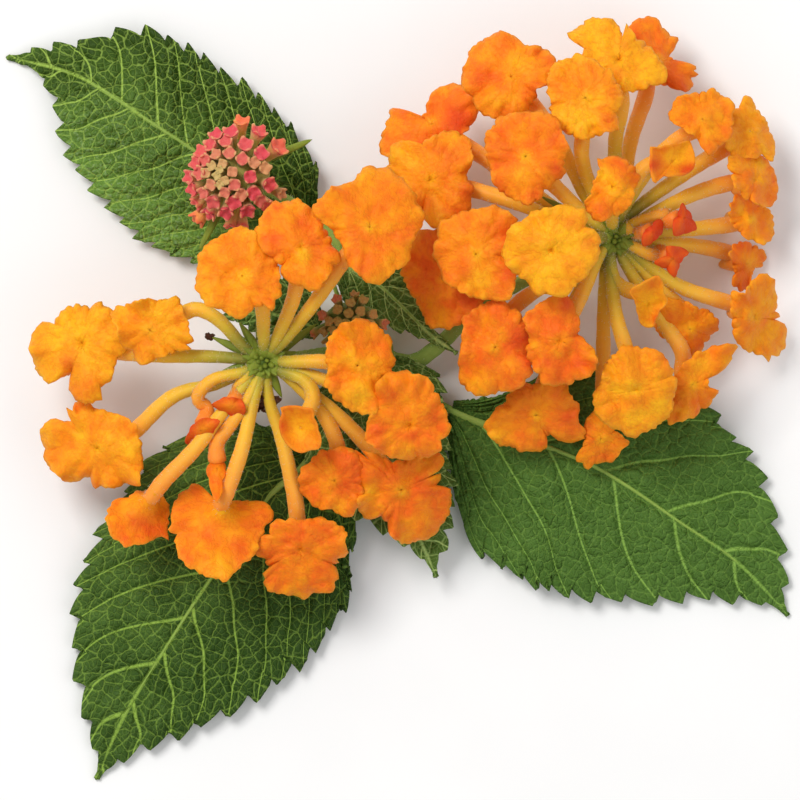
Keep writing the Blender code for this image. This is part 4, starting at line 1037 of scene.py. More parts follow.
@dataclass
class Limb:
    """The spread petals of one floret, as a wrinkled sheet inside a drawn rim."""

    floret: Floret
    seed: int
    around: int = 116
    outward: int = 14
    small_around: int = 56
    small_outward: int = 8
    crisp: int = 6
    blurred: int = 110
    funnel: float = 3.2
    funnel_reach: float = 0.95

    def edge(self, angle: np.ndarray, blur: int) -> np.ndarray:
        """How far the rim is from the throat.

        Args:
            angle: angles in radians.
            blur: how many half degrees the corners are rounded over.
        Returns:
            The distances in millimetres.
        """
        points = np.array(self.floret.rim, float)
        dx, dy = points[:, 0] - self.floret.x, self.floret.y - points[:, 1]
        turn = np.degrees(np.arctan2(dy, dx)) % 360
        order = np.argsort(turn)
        spots = np.arange(720) * 0.5
        table = np.interp(spots, turn[order], np.hypot(dx, dy)[order], period=360)
        window = np.hanning(blur + 2)[1:-1]
        window /= window.sum()
        wrapped = np.concatenate([table[-blur:], table, table[:blur]])
        table = np.convolve(wrapped, window, "same")[blur:-blur]
        degrees = np.degrees(angle) % 360
        return np.interp(degrees, spots, table, period=360) * SHEET_UNIT / MM * 1.03

    @staticmethod
    def waves(x: np.ndarray, y: np.ndarray, size: float, rng: np.random.Generator) -> np.ndarray:
        """Smooth random waves.

        Args:
            x: first coordinate.
            y: second coordinate.
            size: the usual distance between two crests.
            rng: the random draw.
        Returns:
            Values about zero.
        """
        total = np.zeros_like(x)
        for _ in range(9):
            way = rng.uniform(0, 2 * math.pi)
            length = size * rng.uniform(0.7, 1.5)
            total += np.sin((x * math.cos(way) + y * math.sin(way)) * 2 * math.pi / length
                            + rng.uniform(0, 2 * math.pi))
        return total / 2.1

    def build(self) -> bmesh.types.BMesh:
        """Make the sheet.

        Returns:
            The open sheet.
        """
        floret = self.floret
        rng = np.random.default_rng(self.seed)
        small = floret.opening is not Opening.OPEN
        patch = Patch(self.small_around if small else self.around,
                      self.small_outward if small else self.outward)
        angle = patch.turn()
        share = 0.015 + 0.985 * patch.v ** 0.85
        rim = self.edge(angle, self.crisp)
        broad = self.edge(angle, self.blurred)
        rim_x, rim_y = rim * np.cos(angle), rim * np.sin(angle)
        frill = 0.075 * self.waves(rim_x, rim_y, 0.8, rng) + 0.09 * self.waves(rim_x, rim_y, 2.0, rng)
        rim = rim + (0.0 if small else 1.0) * frill
        reach = rim * share
        x, y = reach * np.cos(angle), reach * np.sin(angle)
        dip = np.clip((broad - rim) / broad, 0, 0.5)
        wide = float(np.mean(broad))
        ruffle = 0.8 * self.waves(rim_x, rim_y, 5.5, rng) + 0.6 * self.waves(rim_x, rim_y, 2.4, rng)
        bulge = self.waves(x, y, 3.6, rng)
        pucker = self.waves(x, y, 1.3, rng)
        fine = self.waves(x, y, 0.5, rng)
        crease = np.exp(-(self.waves(x, y, 3.4, rng) / 0.13) ** 2)
        fold = np.exp(-(self.waves(x, y, 2.2, rng) / 0.1) ** 2)
        near = np.exp(-(reach / 0.62) ** 2)
        height = 0.2 * bulge + 0.06 * pucker + 0.022 * fine - (0.15 * crease + 0.1 * fold) * share
        height += 0.34 * share ** 4 * (ruffle + np.maximum(ruffle, 0) ** 1.5) * wide / 5
        height -= (0.45 * share ** 3 + 0.5 * share ** 9) * wide / 5
        height -= 1.5 * dip * share ** 4
        if self.seed % 3:
            height += 0.4 * near
        else:
            height += 0.25 * np.exp(-((reach - 0.85) / 0.42) ** 2) - 0.3 * near
        if floret.opening is Opening.CUP:
            height = 0.08 * bulge + 1.25 * share ** 2 - 0.5
        if floret.opening is Opening.TIP:
            height = 0.1 * bulge - 0.5 * np.abs(x * 0.4 + y * 0.6) * share + 0.5 * (1 - share)
            height = height + 0.32 * np.cos(4 * angle + self.seed) * share ** 2
        x, y, level = self.tilt(x, y, reach)
        if floret.face[2] < 0:
            height = height * 0.4
            near = near if small else np.exp(-(reach / 1.6) ** 2)
        centre = place(floret.x, floret.y, floret.z)
        rise = centre.z + (level + height) * MM
        points = np.stack([centre.x + x * MM, centre.y + y * MM, np.maximum(rise, LOWEST_PETAL)], axis=1)
        # Painted shade: creases, folds and the notches between lobes are reddened as if in shadow.
        shade_reddened = (0.45 * crease + 0.3 * fold) * share + 1.6 * dip * share ** 4
        red = np.clip(shade_reddened, 0, 0.7) * 0.5
        return patch.bend(points, self.tinted_and_shaded(x, y, share, floret.tint - 0.45 * near, red))

    def tilt(self, x: np.ndarray, y: np.ndarray, reach: np.ndarray) -> tuple:
        """Lean the sheet to the floret's face, and draw a face-down one up into its tube.

        Args:
            x: millimetres to the right of the throat.
            y: millimetres up from the throat.
            reach: distance from the throat in millimetres.
        Returns:
            The two places and the height, in millimetres.
        """
        fx, fy, fz = self.floret.face
        steep = max(abs(fz), 0.62) * (1 if fz > 0 else -1)
        level = -(x * fx + y * fy) / steep
        if fz > 0:
            return x, y, level
        if self.floret.opening is not Opening.OPEN:
            return x, y, level + 1.5 * np.exp(-(reach / 1.25) ** 2)
        funnel = self.funnel * np.exp(-reach / self.funnel_reach)
        return x + funnel * fx / fz, y + funnel * fy / fz, level + funnel

    def tinted_and_shaded(self, x: np.ndarray, y: np.ndarray, share: np.ndarray, tint: np.ndarray,
                red: np.ndarray) -> np.ndarray:
        """Colour data with the floret's own tint spots, which are partly painted shade and painted highlight.

        Args:
            x: millimetres to the right of the throat.
            y: millimetres up from the throat.
            share: place from throat to rim.
            tint: depth of the orange.
            red: painted shade in the creases, as redness.
        Returns:
            Tint, place from throat to rim and redness for each point; the redness is partly painted shade.
        """
        floret = self.floret
        sheet_x, sheet_y = floret.x + x * MM / SHEET_UNIT, floret.y - y * MM / SHEET_UNIT
        # Reddening spots are partly painted shade, yellowing ones partly painted highlight.
        for spot_x, spot_y, size, amount in floret.tint_and_shade_spots:
            near = np.exp(-((sheet_x - spot_x) ** 2 + (sheet_y - spot_y) ** 2) / size ** 2)
            if amount > 0:
                red = red + 0.75 * amount * near
            else:
                tint = tint + amount * near
        red = red + floret.red * (share if floret.opening is Opening.CUP else 0.25 + 0.65 * share ** 2)
        return np.stack([np.clip(tint, 0, 1), share, np.clip(red, 0, 1)], axis=1)


@dataclass
class FlowerHead:
    """An open head: tubes, limbs, calyces, bracts and a green heart."""

    name: str
    node: str
    centre: Spot
    florets: tuple
    bracts: tuple
    seed: int
    sides: int = 16
    steps: int = 26
    beads: int = 26
    hairs: int = 420
    hair_length: float = 0.3

    def root(self, floret: Floret, middle: Vector) -> Vector:
        """Where a floret's tube leaves the core.

        Args:
            floret: the floret.
            middle: the core's middle.
        Returns:
            The root's place.
        """
        way = (place(*floret.vias[0], 0) - middle).to_2d().normalized()
        rise = max(-0.2, min(1.2, (floret.z * MM - middle.z) / (7 * MM)))
        return middle + Vector((way.x, way.y, rise * 0.8)).normalized() * 0.7 * MM

    def path(self, floret: Floret, middle: Vector) -> list[Vector]:
        """The tube's course to the limb.

        Args:
            floret: the floret.
            middle: the core's middle.
        Returns:
            The curve's points.
        """
        start = self.root(floret, middle)
        centre = place(floret.x, floret.y, floret.z)
        face = Vector(floret.face).normalized()
        end = centre - face * 0.35 * MM
        before = centre - face * 2.9 * MM
        flat = [start] + [Vector((*place(x, y, 0).to_2d(), 0.0)) for x, y in floret.vias] + [before]
        spans = [(b.to_2d() - a.to_2d()).length for a, b in zip(flat, flat[1:])]
        total, run = sum(spans), 0.0
        for index in range(1, len(flat) - 1):
            run += spans[index - 1]
            s = run / total
            flat[index].z = start.z + (before.z - start.z) * s + 3.2 * MM * s * (1 - s)
        return smooth_path(flat + [end], 8)

    def tube(self, floret: Floret, middle: Vector) -> bmesh.types.BMesh:
        """The tube from the core to the limb.

        Args:
            floret: the floret.
            middle: the core's middle.
        Returns:
            The tube.
        """
        path = resample(self.path(floret, middle), self.steps)
        s = np.linspace(0, 1, self.steps)
        radii = np.interp(s, [0, 0.2, 0.55, 0.85, 0.95, 1.0], [0.52, 0.64, 0.8, 0.92, 0.96, 0.85])
        if floret.face[2] < 0:
            radii = np.interp(s, [0, 0.2, 0.55, 0.8, 1.0], [0.52, 0.64, 0.8, 0.86, 0.74])
        red = np.zeros(self.steps)
        if floret.opening is Opening.TIP:
            radii = np.interp(s, [0, 0.5, 0.8, 0.95, 1.0], [0.5, 0.66, 0.8, 1.0, 0.9])
            red = smoothstep(0.35, 1.0, s) * 0.45 * floret.red

        def section(angle: np.ndarray, along: np.ndarray) -> np.ndarray:
            """Four soft corners and a slight waviness."""
            return 1 + 0.05 * np.cos(4 * angle) + 0.03 * np.sin(9 * along * 6.28 + 2 * angle)

        data = np.stack([s, np.full(self.steps, floret.tint), red], axis=1)
        return sweep(path, radii * MM, self.sides, section, data)

    def calyx(self, floret: Floret, middle: Vector) -> bmesh.types.BMesh:
        """The small green cup round a tube's root.

        Args:
            floret: the floret.
            middle: the core's middle.
        Returns:
            The cup.
        """
        path = resample(self.path(floret, middle), 60)
        lengths = np.r_[0, np.cumsum(np.linalg.norm(np.diff(path, axis=0), axis=1))]
        stop = int(np.searchsorted(lengths, 1.55 * MM))
        path = path[:max(stop, 5)]
        s = np.linspace(0, 1, len(path))
        radii = np.interp(s, [0, 0.25, 0.8, 1.0], [0.58, 0.7, 0.7, 0.6]) * MM
        data = np.stack([s * 0.5, 0.2 + 0.5 * s, s * 0], axis=1)
        return sweep(path, radii, 12, lambda angle, along: 1 + 0.1 * np.cos(5 * angle) * along, data)

    def bract(self, tip: Spot, middle: Vector) -> bmesh.types.BMesh:
        """A slim, keeled and pointed bract.

        Args:
            tip: its tip's sheet point and height.
            middle: the core's middle.
        Returns:
            The bract.
        """
        end = place(*tip)
        start = middle + Vector((0, 0, -1.0 * MM))
        bow = (start + end) / 2 + Vector((0, 0, 0.5 * MM))
        path = resample(smooth_path([start, bow, end], 8), 16)
        radii = np.interp(np.linspace(0, 1, 16), [0, 0.35, 0.7, 0.92, 1],
                          [0.4, 0.62, 0.42, 0.16, 0.05]) * MM
        data = np.stack([np.linspace(0.2, 0.9, 16), np.linspace(0.5, 0.1, 16), np.zeros(16)], axis=1)
        return sweep(path, radii, 10, lambda angle, along: 0.72 + 0.28 * np.cos(2 * angle), data)

    def sepals(self) -> tuple:
        """Tips of the short sepals that stand between the tubes.

        Returns:
            Sheet points and heights.
        """
        rng = random.Random(self.seed + 40)
        tips = []
        for index in range(18):
            turn = index * 2.4 + rng.uniform(-0.2, 0.2)
            reach = rng.uniform(1.7, 2.9) * MM / SHEET_UNIT
            tips.append((self.centre[0] + reach * math.cos(turn),
                         self.centre[1] + reach * math.sin(turn),
                         self.centre[2] + rng.uniform(0.3, 1.5)))
        return tuple(tips)

    def heart(self, middle: Vector) -> list[bmesh.types.BMesh]:
        """The green receptacle with the smallest buds on it.

        Args:
            middle: the core's middle.
        Returns:
            Its parts.
        """
        rng = random.Random(self.seed)

        def skin(ball: Vector) -> Vector:
            """A point of the receptacle's knobbly skin."""
            size = 1 + 0.16 * noise.noise(ball * 4.0) + 0.08 * noise.noise(ball * 9.0)
            return middle + Vector((ball.x * 1.35, ball.y * 1.35, ball.z * 1.15)) * MM * size

        parts = [lump(skin, lambda ball: (0.0, -0.3, 0.0))]
        for index in range(self.beads):
            tilt = math.acos(1 - (index + 0.5) / self.beads * 0.9)
            turn = index * math.pi * (3 - math.sqrt(5))
            ray = Vector((math.sin(tilt) * math.cos(turn), math.sin(tilt) * math.sin(turn), math.cos(tilt)))
            start = np.array(middle + ray * 0.7 * MM)
            size = rng.uniform(0.8, 1.2)
            path = start + np.outer(np.linspace(0, 1, 8) * 1.05 * size * MM, np.array(ray))
            radii = np.interp(np.linspace(0, 1, 8), [0, 0.6, 0.9, 1], [0.22, 0.3, 0.2, 0.05]) * size * MM
            # Painted shade: each bead is darker at its root, deep in the crevices between the beads, and
            # lighter toward its tip.
            data = np.stack([np.linspace(-0.6, 0.8, 8), np.full(8, rng.uniform(-0.2, 0.6)),
                             np.zeros(8)], axis=1)
            parts.append(sweep(path, radii, 8, None, data))
        return parts

    def dress(self, petal: bpy.types.Material, tube: bpy.types.Material,
              green: bpy.types.Material, hair: bpy.types.Material) -> list[bpy.types.Object]:
        """Make the head's pieces.

        Args:
            petal: the petals' material.
            tube: the tubes' material.
            green: the calyces' material.
            hair: the tubes' hairs' material.
        Returns:
            The pieces.
        """
        middle = place(*self.centre)
        petals = Builder(self.name + "_petals")
        tubes = Builder(self.name + "_tubes")
        cups = Builder(self.name + "_calyces")
        hairs = Builder(self.name + "_hairs")
        rng = np.random.default_rng(self.seed)
        for index, floret in enumerate(self.florets):
            petals.add(Limb(floret, self.seed * 31 + index).build())
            tubes.add(self.tube(floret, middle))
            cups.add(self.calyx(floret, middle))
            path = resample(self.path(floret, middle), self.steps)
            radii = np.interp(np.linspace(0, 1, self.steps), [0, 0.2, 0.55, 1],
                              [0.52, 0.64, 0.8, 0.92]) * MM
            hairs.add(bristles(path, radii, self.hairs, self.hair_length, rng))
        for tip in self.bracts + self.sepals():
            cups.add(self.bract(tip, middle))
        for part in self.heart(middle):
            cups.add(part)
        return [petals.build(petal, "petal", (self.node,), PETAL_THICKNESS),
                tubes.build(tube, "petal", (self.node,)),
                cups.build(green, "stem"),
                hairs.build(hair, "petal")]


@dataclass
class Leaf:
    """A toothed, quilted blade with its midrib and petiole."""

    name: str
    finish: LeafFinish
    mid: tuple
    left: tuple
    right: tuple
    teeth: int
    fold: float
    wave: float
    phase: float
    petiole: tuple
    long: int = 220
    wide: int = 116
    veins: int = 8
    seed: int = 1
    sweep_ahead: float = 0.34
    # Painted light and shade: how much lighter each of the two halves of the blade is painted, by how it
    # faces the lamp.
    pale: tuple[float, float] = (0.0, 0.0)
    bare: float = 0.03
    slim: float = 1.0
    joints: int = 60

    def spine(self) -> np.ndarray:
        """The midrib's points, evenly spaced, one to a row."""
        return resample(smooth_path([place(*p) for p in self.mid], 8), self.joints)

    def blade(self) -> tuple[Patch, np.ndarray, np.ndarray, np.ndarray]:
        """The blade's upper face.

        Returns:
            The grid, its points, its marks and its texture coordinates.
        """
        spine = self.spine()
        patch = Patch(self.long, self.wide)
        u, v = patch.u, patch.v * 2 - 1
        spot = u * (self.joints - 1)
        index = np.minimum(spot.astype(int), self.joints - 2)
        here = spine[index] + (spine[index + 1] - spine[index]) * (spot - index)[:, None]
        ways = np.gradient(spine[:, :2], axis=0)
        ways = ways / np.linalg.norm(ways, axis=1)[:, None]
        way = ways[index] + (ways[index + 1] - ways[index]) * (spot - index)[:, None]
        across = np.stack([-way[:, 1], way[:, 0]], axis=1)
        half = np.where(v > 0, profile(self.left, u), profile(self.right, u))
        half = np.maximum(np.maximum(half - EDGE_TRIM, half * 0.5), 0.0)
        step = u * self.teeth
        jitter = 0.25 * np.sin(2.3 * np.floor(step) + self.seed)
        tooth = step - np.floor(step)
        shape = np.minimum(tooth / 0.84, 1.0) ** 0.6 * np.where(tooth > 0.86, (1 - tooth) / 0.14, 1.0)
        grow = np.minimum(1.0, half / 2.5) * smoothstep(self.bare * 0.2, self.bare, u)
        rim = np.abs(v) ** 7
        out = half * np.abs(v) + (TOOTH_REACH * (1 + jitter) * shape - 0.5) * grow * rim
        length = np.linalg.norm(np.diff(spine, axis=0), axis=1).sum() / MM
        ahead = 0.3 * length / self.teeth * shape * grow * rim
        lift = self.fold * out
        swell = np.sin(9 * u + self.phase + np.where(v < 0, 1.3, 0.0))
        lift = (lift + self.wave * v * v * swell) * np.minimum(1.0, 4 * (1 - u))
        marks, relief, spread = self.veining(u, v, out, length)
        points = np.empty((len(u), 3))
        points[:, :2] = (here[:, :2] + across * (out * np.sign(v))[:, None] * MM
                         + way * ahead[:, None] * MM)
        points[:, 2] = np.maximum(here[:, 2] + lift * MM, LOWEST_BLADE) + relief * MM
        return patch, points, marks, spread

    def veining(self, u: np.ndarray, v: np.ndarray, out: np.ndarray, length: float) -> tuple:
        """Side veins and the quilting between them.

        Args:
            u: share of the way from base to tip.
            v: share of the way from midrib to edge, with its sign.
            out: distance from the midrib in millimetres.
            length: the blade's length in millimetres.
        Returns:
            Marks (vein count, distance from the midrib, painted light and shade), relief in millimetres and
            places along and across in millimetres.
        """
        rng = np.random.default_rng(self.seed)
        reach = self.sweep_ahead * np.abs(v) ** 0.95
        origin = 1 - (1 - u) / (1 - reach) + 0.004 * np.sin(42 * u + 5 * v)
        spots = np.linspace(-0.34, 0.95, self.veins + 4) + rng.uniform(-0.014, 0.014, self.veins + 4)
        numbers = np.arange(self.veins + 4)
        origin = np.where(v > 0, origin, origin - 0.03)
        beyond = np.minimum(origin - spots[0], 0) + np.maximum(origin - spots[-1], 0)
        count = np.interp(origin, spots, numbers) + beyond / 1.29 * (self.veins + 3)
        spacing = 1.29 / (self.veins + 3) * length * 0.85
        near = np.abs((count + 0.5) % 1.0 - 0.5) * spacing
        tip = np.clip((1 - u) * 6, 0.25, 1)
        rungs = Limb.waves(out, count * spacing * 0.45, 2.1, rng)
        small = Limb.waves(out, origin * length, 1.0, rng)
        relief = 0.5 * (1 - np.exp(-(near / 0.8) ** 2)) * np.clip(out, 0, 1)
        relief += 0.11 * rungs * np.clip(near, 0, 1) + 0.06 * small
        relief -= 0.16 * np.exp(-(out / 0.4) ** 2)
        relief = relief * tip * (1 - 0.7 * np.abs(v) ** 6) - 0.2
        # Painted light and shade: one half of the blade is painted lighter and the other darker, fading out
        # toward the tip.
        pale = self.pale[0] + (self.pale[1] - self.pale[0]) * (v * 0.5 + 0.5)
        pale = pale * (1 - smoothstep(0.62, 0.9, u))
        spread = np.stack([u * length + 100 + self.seed * 10, out * np.sign(v) + 100], axis=1)
        marks = np.stack([count / 16, out + 0.2 * smoothstep(0.88, 1.0, u), pale], axis=1)
        return marks, relief, spread

    def stalk(self) -> bmesh.types.BMesh:
        """The petiole and the rib under the blade.

        Returns:
            The tube.
        """
        spine = self.spine()
        rib = [Vector(p) - Vector((0, 0, 0.42 * MM)) for p in spine[2:54:4]]
        start = [place(*p) for p in reversed(self.petiole)]
        path = resample(smooth_path(start + rib, 5), 70)
        radii = np.interp(np.linspace(0, 1, 70), [0, 0.25, 0.5, 1], [0.62, 0.48, 0.24, 0.09]) * MM
        radii = radii * self.slim
        data = np.stack([np.full(70, 0.4), np.linspace(0.7, 0.5, 70), np.zeros(70)], axis=1)
        return sweep(path, radii, 12, lambda angle, along: 1 + 0.07 * np.cos(3 * angle), data)

    def dress(self, green: bpy.types.Material) -> list[bpy.types.Object]:
        """Make the leaf's pieces.

        Args:
            green: the petiole's material.
        Returns:
            The pieces.
        """
        patch, points, marks, spread = self.blade()
        blade = Builder(self.name + "_blade")
        blade.add(patch.bend(points, marks, spread))
        stalk = Builder(self.name + "_petiole")
        stalk.add(self.stalk())
        return [blade.build(self.finish.build(), "leaf", (self.name,), BLADE_THICKNESS),
                stalk.build(green, "stem", (self.name,))]


@dataclass(frozen=True)
class Bud:
    """One bud: its tip's sheet point, its width in millimetres, and its colour shares."""

    x: float
    y: float
    wide: float
    red: float
    orange: float


PINK_BUDS = (
    Bud(243, 122, 1.75, 0.85, 0.75), Bud(232, 133, 1.75, 1.0, 0.0), Bud(261, 132, 1.85, 1.0, 0.15),
    Bud(281, 148, 2.1, 0.95, 0.45), Bud(217, 136, 1.6, 1.0, 0.0), Bud(211, 146, 1.6, 0.95, 0.0),
    Bud(227, 143, 1.5, 0.9, 0.0), Bud(247, 146, 1.7, 0.95, 0.0), Bud(263, 155, 1.7, 1.0, 0.0),
    Bud(202, 153, 1.6, 0.95, 0.1), Bud(206, 162, 1.4, 0.85, 0.0), Bud(196, 165, 1.5, 0.95, 0.05),
    Bud(200, 175, 1.6, 0.85, 0.0), Bud(189, 179, 1.6, 0.95, 0.0), Bud(192, 191, 1.7, 1.0, 0.1),
    Bud(204, 195, 1.4, 0.8, 0.0), Bud(196, 206, 1.6, 1.0, 0.2), Bud(214, 205, 1.7, 0.9, 0.0),
    Bud(209, 217, 1.7, 1.0, 0.0), Bud(197, 222, 1.9, 0.9, 0.8), Bud(227, 216, 1.7, 1.0, 0.0),
    Bud(235, 205, 1.7, 1.0, 0.0), Bud(232, 229, 1.7, 0.95, 0.3), Bud(249, 214, 1.8, 1.0, 0.0),
    Bud(255, 195, 1.6, 1.0, 0.0), Bud(270, 209, 1.7, 0.95, 0.2), Bud(272, 187, 1.7, 1.0, 0.1),
    Bud(252, 179, 1.5, 1.0, 0.0), Bud(244, 161, 1.45, 0.85, 0.0), Bud(231, 155, 1.4, 0.75, 0.0),
    Bud(217, 156, 1.3, 0.6, 0.0), Bud(236, 187, 1.4, 0.8, 0.0), Bud(226, 195, 1.3, 0.7, 0.0),
    Bud(212, 187, 1.3, 0.6, 0.0), Bud(234, 174, 1.2, 0.5, 0.0), Bud(224, 166, 1.1, 0.3, 0.0),
    Bud(213, 168, 1.1, 0.15, 0.0), Bud(207, 175, 1.2, 0.35, 0.0), Bud(218, 178, 1.0, 0.05, 0.0),
    Bud(226, 183, 1.1, 0.2, 0.0), Bud(221, 187, 1.0, 0.1, 0.0), Bud(242, 229, 1.6, 0.9, 0.2),
    Bud(284, 196, 1.3, 0.4, 0.1), Bud(221, 172, 0.9, 0.05, 0.0), Bud(267, 170, 1.4, 0.35, 0.1),
    Bud(256, 165, 1.3, 0.5, 0.0), Bud(243, 197, 1.4, 0.6, 0.0), Bud(262, 203, 1.5, 0.8, 0.0),
)
YOUNG_BUDS = (
    Bud(337, 299, 1.25, 1.0, 0.0), Bud(351, 303, 1.2, 0.3, 0.0), Bud(364, 300, 1.2, 0.35, 0.0),
    Bud(338, 310, 1.2, 0.3, 0.0), Bud(349, 314, 1.15, 0.3, 0.0), Bud(361, 312, 1.2, 0.4, 0.0),
    Bud(374, 315, 1.2, 0.5, 0.0), Bud(322, 316, 1.25, 1.0, 0.0), Bud(329, 322, 1.15, 0.4, 0.0),
    Bud(338, 322, 1.1, 0.3, 0.0), Bud(346, 324, 1.1, 0.2, 0.0), Bud(357, 321, 1.1, 0.2, 0.0),
    Bud(386, 325, 1.3, 1.0, 0.0), Bud(312, 335, 1.3, 1.0, 0.0), Bud(323, 333, 1.2, 0.4, 0.0),
    Bud(333, 331, 1.15, 0.3, 0.0), Bud(326, 345, 1.2, 0.5, 0.0), Bud(371, 325, 1.15, 0.4, 0.0),
    Bud(346, 334, 1.1, 0.2, 0.0), Bud(358, 332, 1.1, 0.2, 0.0), Bud(380, 334, 1.2, 0.5, 0.0),
    Bud(340, 342, 1.2, 0.4, 0.0), Bud(355, 294, 1.1, 0.5, 0.0),
)


@dataclass
class BudKnob:
    """A knob of unopened buds on a rounded core."""

    name: str
    centre: Spot
    core: Spot
    dome: Spot
    buds: tuple
    length: float
    seed: int
    star: float = 0.26
    bracts: tuple = ()
    sides: int = 20

    def bud(self, tip: np.ndarray, way: np.ndarray, wide: float, tall: float, turn: float,
            mark: tuple[float, float]) -> bmesh.types.BMesh:
        """One four-cornered bud.

        Args:
            tip: the middle of its top.
            way: the way it points.
            wide: its width in metres.
            tall: its length in metres.
            turn: how far it is turned about itself.
            mark: its redness and its share of orange.
        Returns:
            The bud.
        """
        rises = np.array([0, 0.02, 0.2, 0.4, 0.58, 0.72, 0.84, 0.93, 0.985, 1.0, 0.985, 0.95, 0.93])
        radii = np.array([0, 0.5, 0.58, 0.64, 0.7, 0.8, 0.93, 1.0, 1.0, 0.86, 0.55, 0.25, 0.0])
        path = tip + np.outer((rises - 1) * tall, way)
        square = smoothstep(0.2, 0.9, np.arange(len(rises)) / 8.0)
        side = np.cross(way, (0.3, 0.5, 0.81))
        side /= np.linalg.norm(side)
        second = np.cross(way, side)
        patch = Patch(self.sides, len(rises) - 1)
        row = np.rint(patch.v * (len(rises) - 1)).astype(int)
        angle = patch.turn()
        squared = (np.abs(np.cos(angle)) ** 5 + np.abs(np.sin(angle)) ** 5) ** -0.2
        corner = np.clip((squared - 1) / 0.23, 0, 1)
        reach = radii[row] * wide * 0.46 * (1 + self.star * corner * square[row])
        lift = 0.16 * wide * corner * ((row >= 6) & (row <= 9))
        groove = 0.12 * wide * (1 - corner) * np.isin(row, (8, 9, 10)) + 0.05 * wide * (row > 10)
        points = (path[row] + np.outer(reach * np.cos(angle + turn), side)
                  + np.outer(reach * np.sin(angle + turn), second) + np.outer(lift - groove, way))
        along = np.clip(np.arange(len(rises)) / 8.0, 0, 1)[row]
        along = np.where(np.isin(row, (8, 9)), 0.84, along) - 0.1 * corner * (row >= 8)
        marks = np.stack([along, np.full(len(row), mark[0]), np.full(len(row), mark[1])], axis=1)
        return patch.bend(points, marks)

    def dress(self, finish: bpy.types.Material, slot: str,
              green: bpy.types.Material) -> list[bpy.types.Object]:
        """Make the knob.

        Args:
            finish: its material.
            slot: the record's slot.
            green: the bracts' material.
        Returns:
            The pieces.
        """
        rng = random.Random(self.seed)
        middle = np.array(place(*self.centre))
        knob = Builder(self.name + "_buds")

        def skin(ball: Vector) -> Vector:
            """A point of the core's knobbly skin."""
            size = 0.86 + 0.1 * noise.noise(ball * 5)
            out = [part * radius * size * MM for part, radius in zip(ball, self.core)]
            return Vector(middle) + Vector(out)

        knob.add(lump(skin, lambda ball: (0.12, 0.0, 0.0)))
        for bud in self.buds:
            flat = np.array(place(bud.x, bud.y, 0)) - middle
            across = flat[:2] / (np.array(self.dome[:2]) * MM)
            out = float(np.hypot(*across))
            high = math.sqrt(max(0.0, 1 - min(out, 1.0) ** 2))
            tip = middle + np.array([flat[0], flat[1], 0.0])
            tip[2] = middle[2] + self.dome[2] * MM * (high - 0.12 * max(0, out - 0.8) * 5)
            way = np.array([across[0], across[1], 0.15 + high])
            way += np.array([rng.uniform(-0.12, 0.12) for _ in range(3)])
            tall = self.length * (0.7 + 0.45 * min(out, 1.0)) * MM
            knob.add(self.bud(tip, way / np.linalg.norm(way), bud.wide * MM, tall,
                              rng.uniform(0, 1.5), (bud.red, bud.orange)))
        made = [knob.build(finish, slot, (self.name,))]
        if self.bracts:
            leaves = Builder(self.name + "_bracts")
            for tip in self.bracts:
                end = place(*tip)
                start = Vector(middle) + (end - Vector(middle)) * 0.3 - Vector((0, 0, 0.8 * MM))
                bow = (start + end) / 2 + Vector((0, 0, -0.4 * MM))
                path = resample(smooth_path([start, bow, end], 8), 18)
                radii = np.interp(np.linspace(0, 1, 18), [0, 0.4, 0.85, 1],
                                  [0.35, 0.5, 0.3, 0.06]) * MM
                data = np.stack([np.linspace(0.2, 0.9, 18), np.full(18, 0.2), np.zeros(18)], axis=1)
                leaves.add(sweep(path, radii, 10,
                                 lambda angle, along: 0.7 + 0.3 * np.cos(2 * angle), data))
            made.append(leaves.build(green, "stem"))
        return made


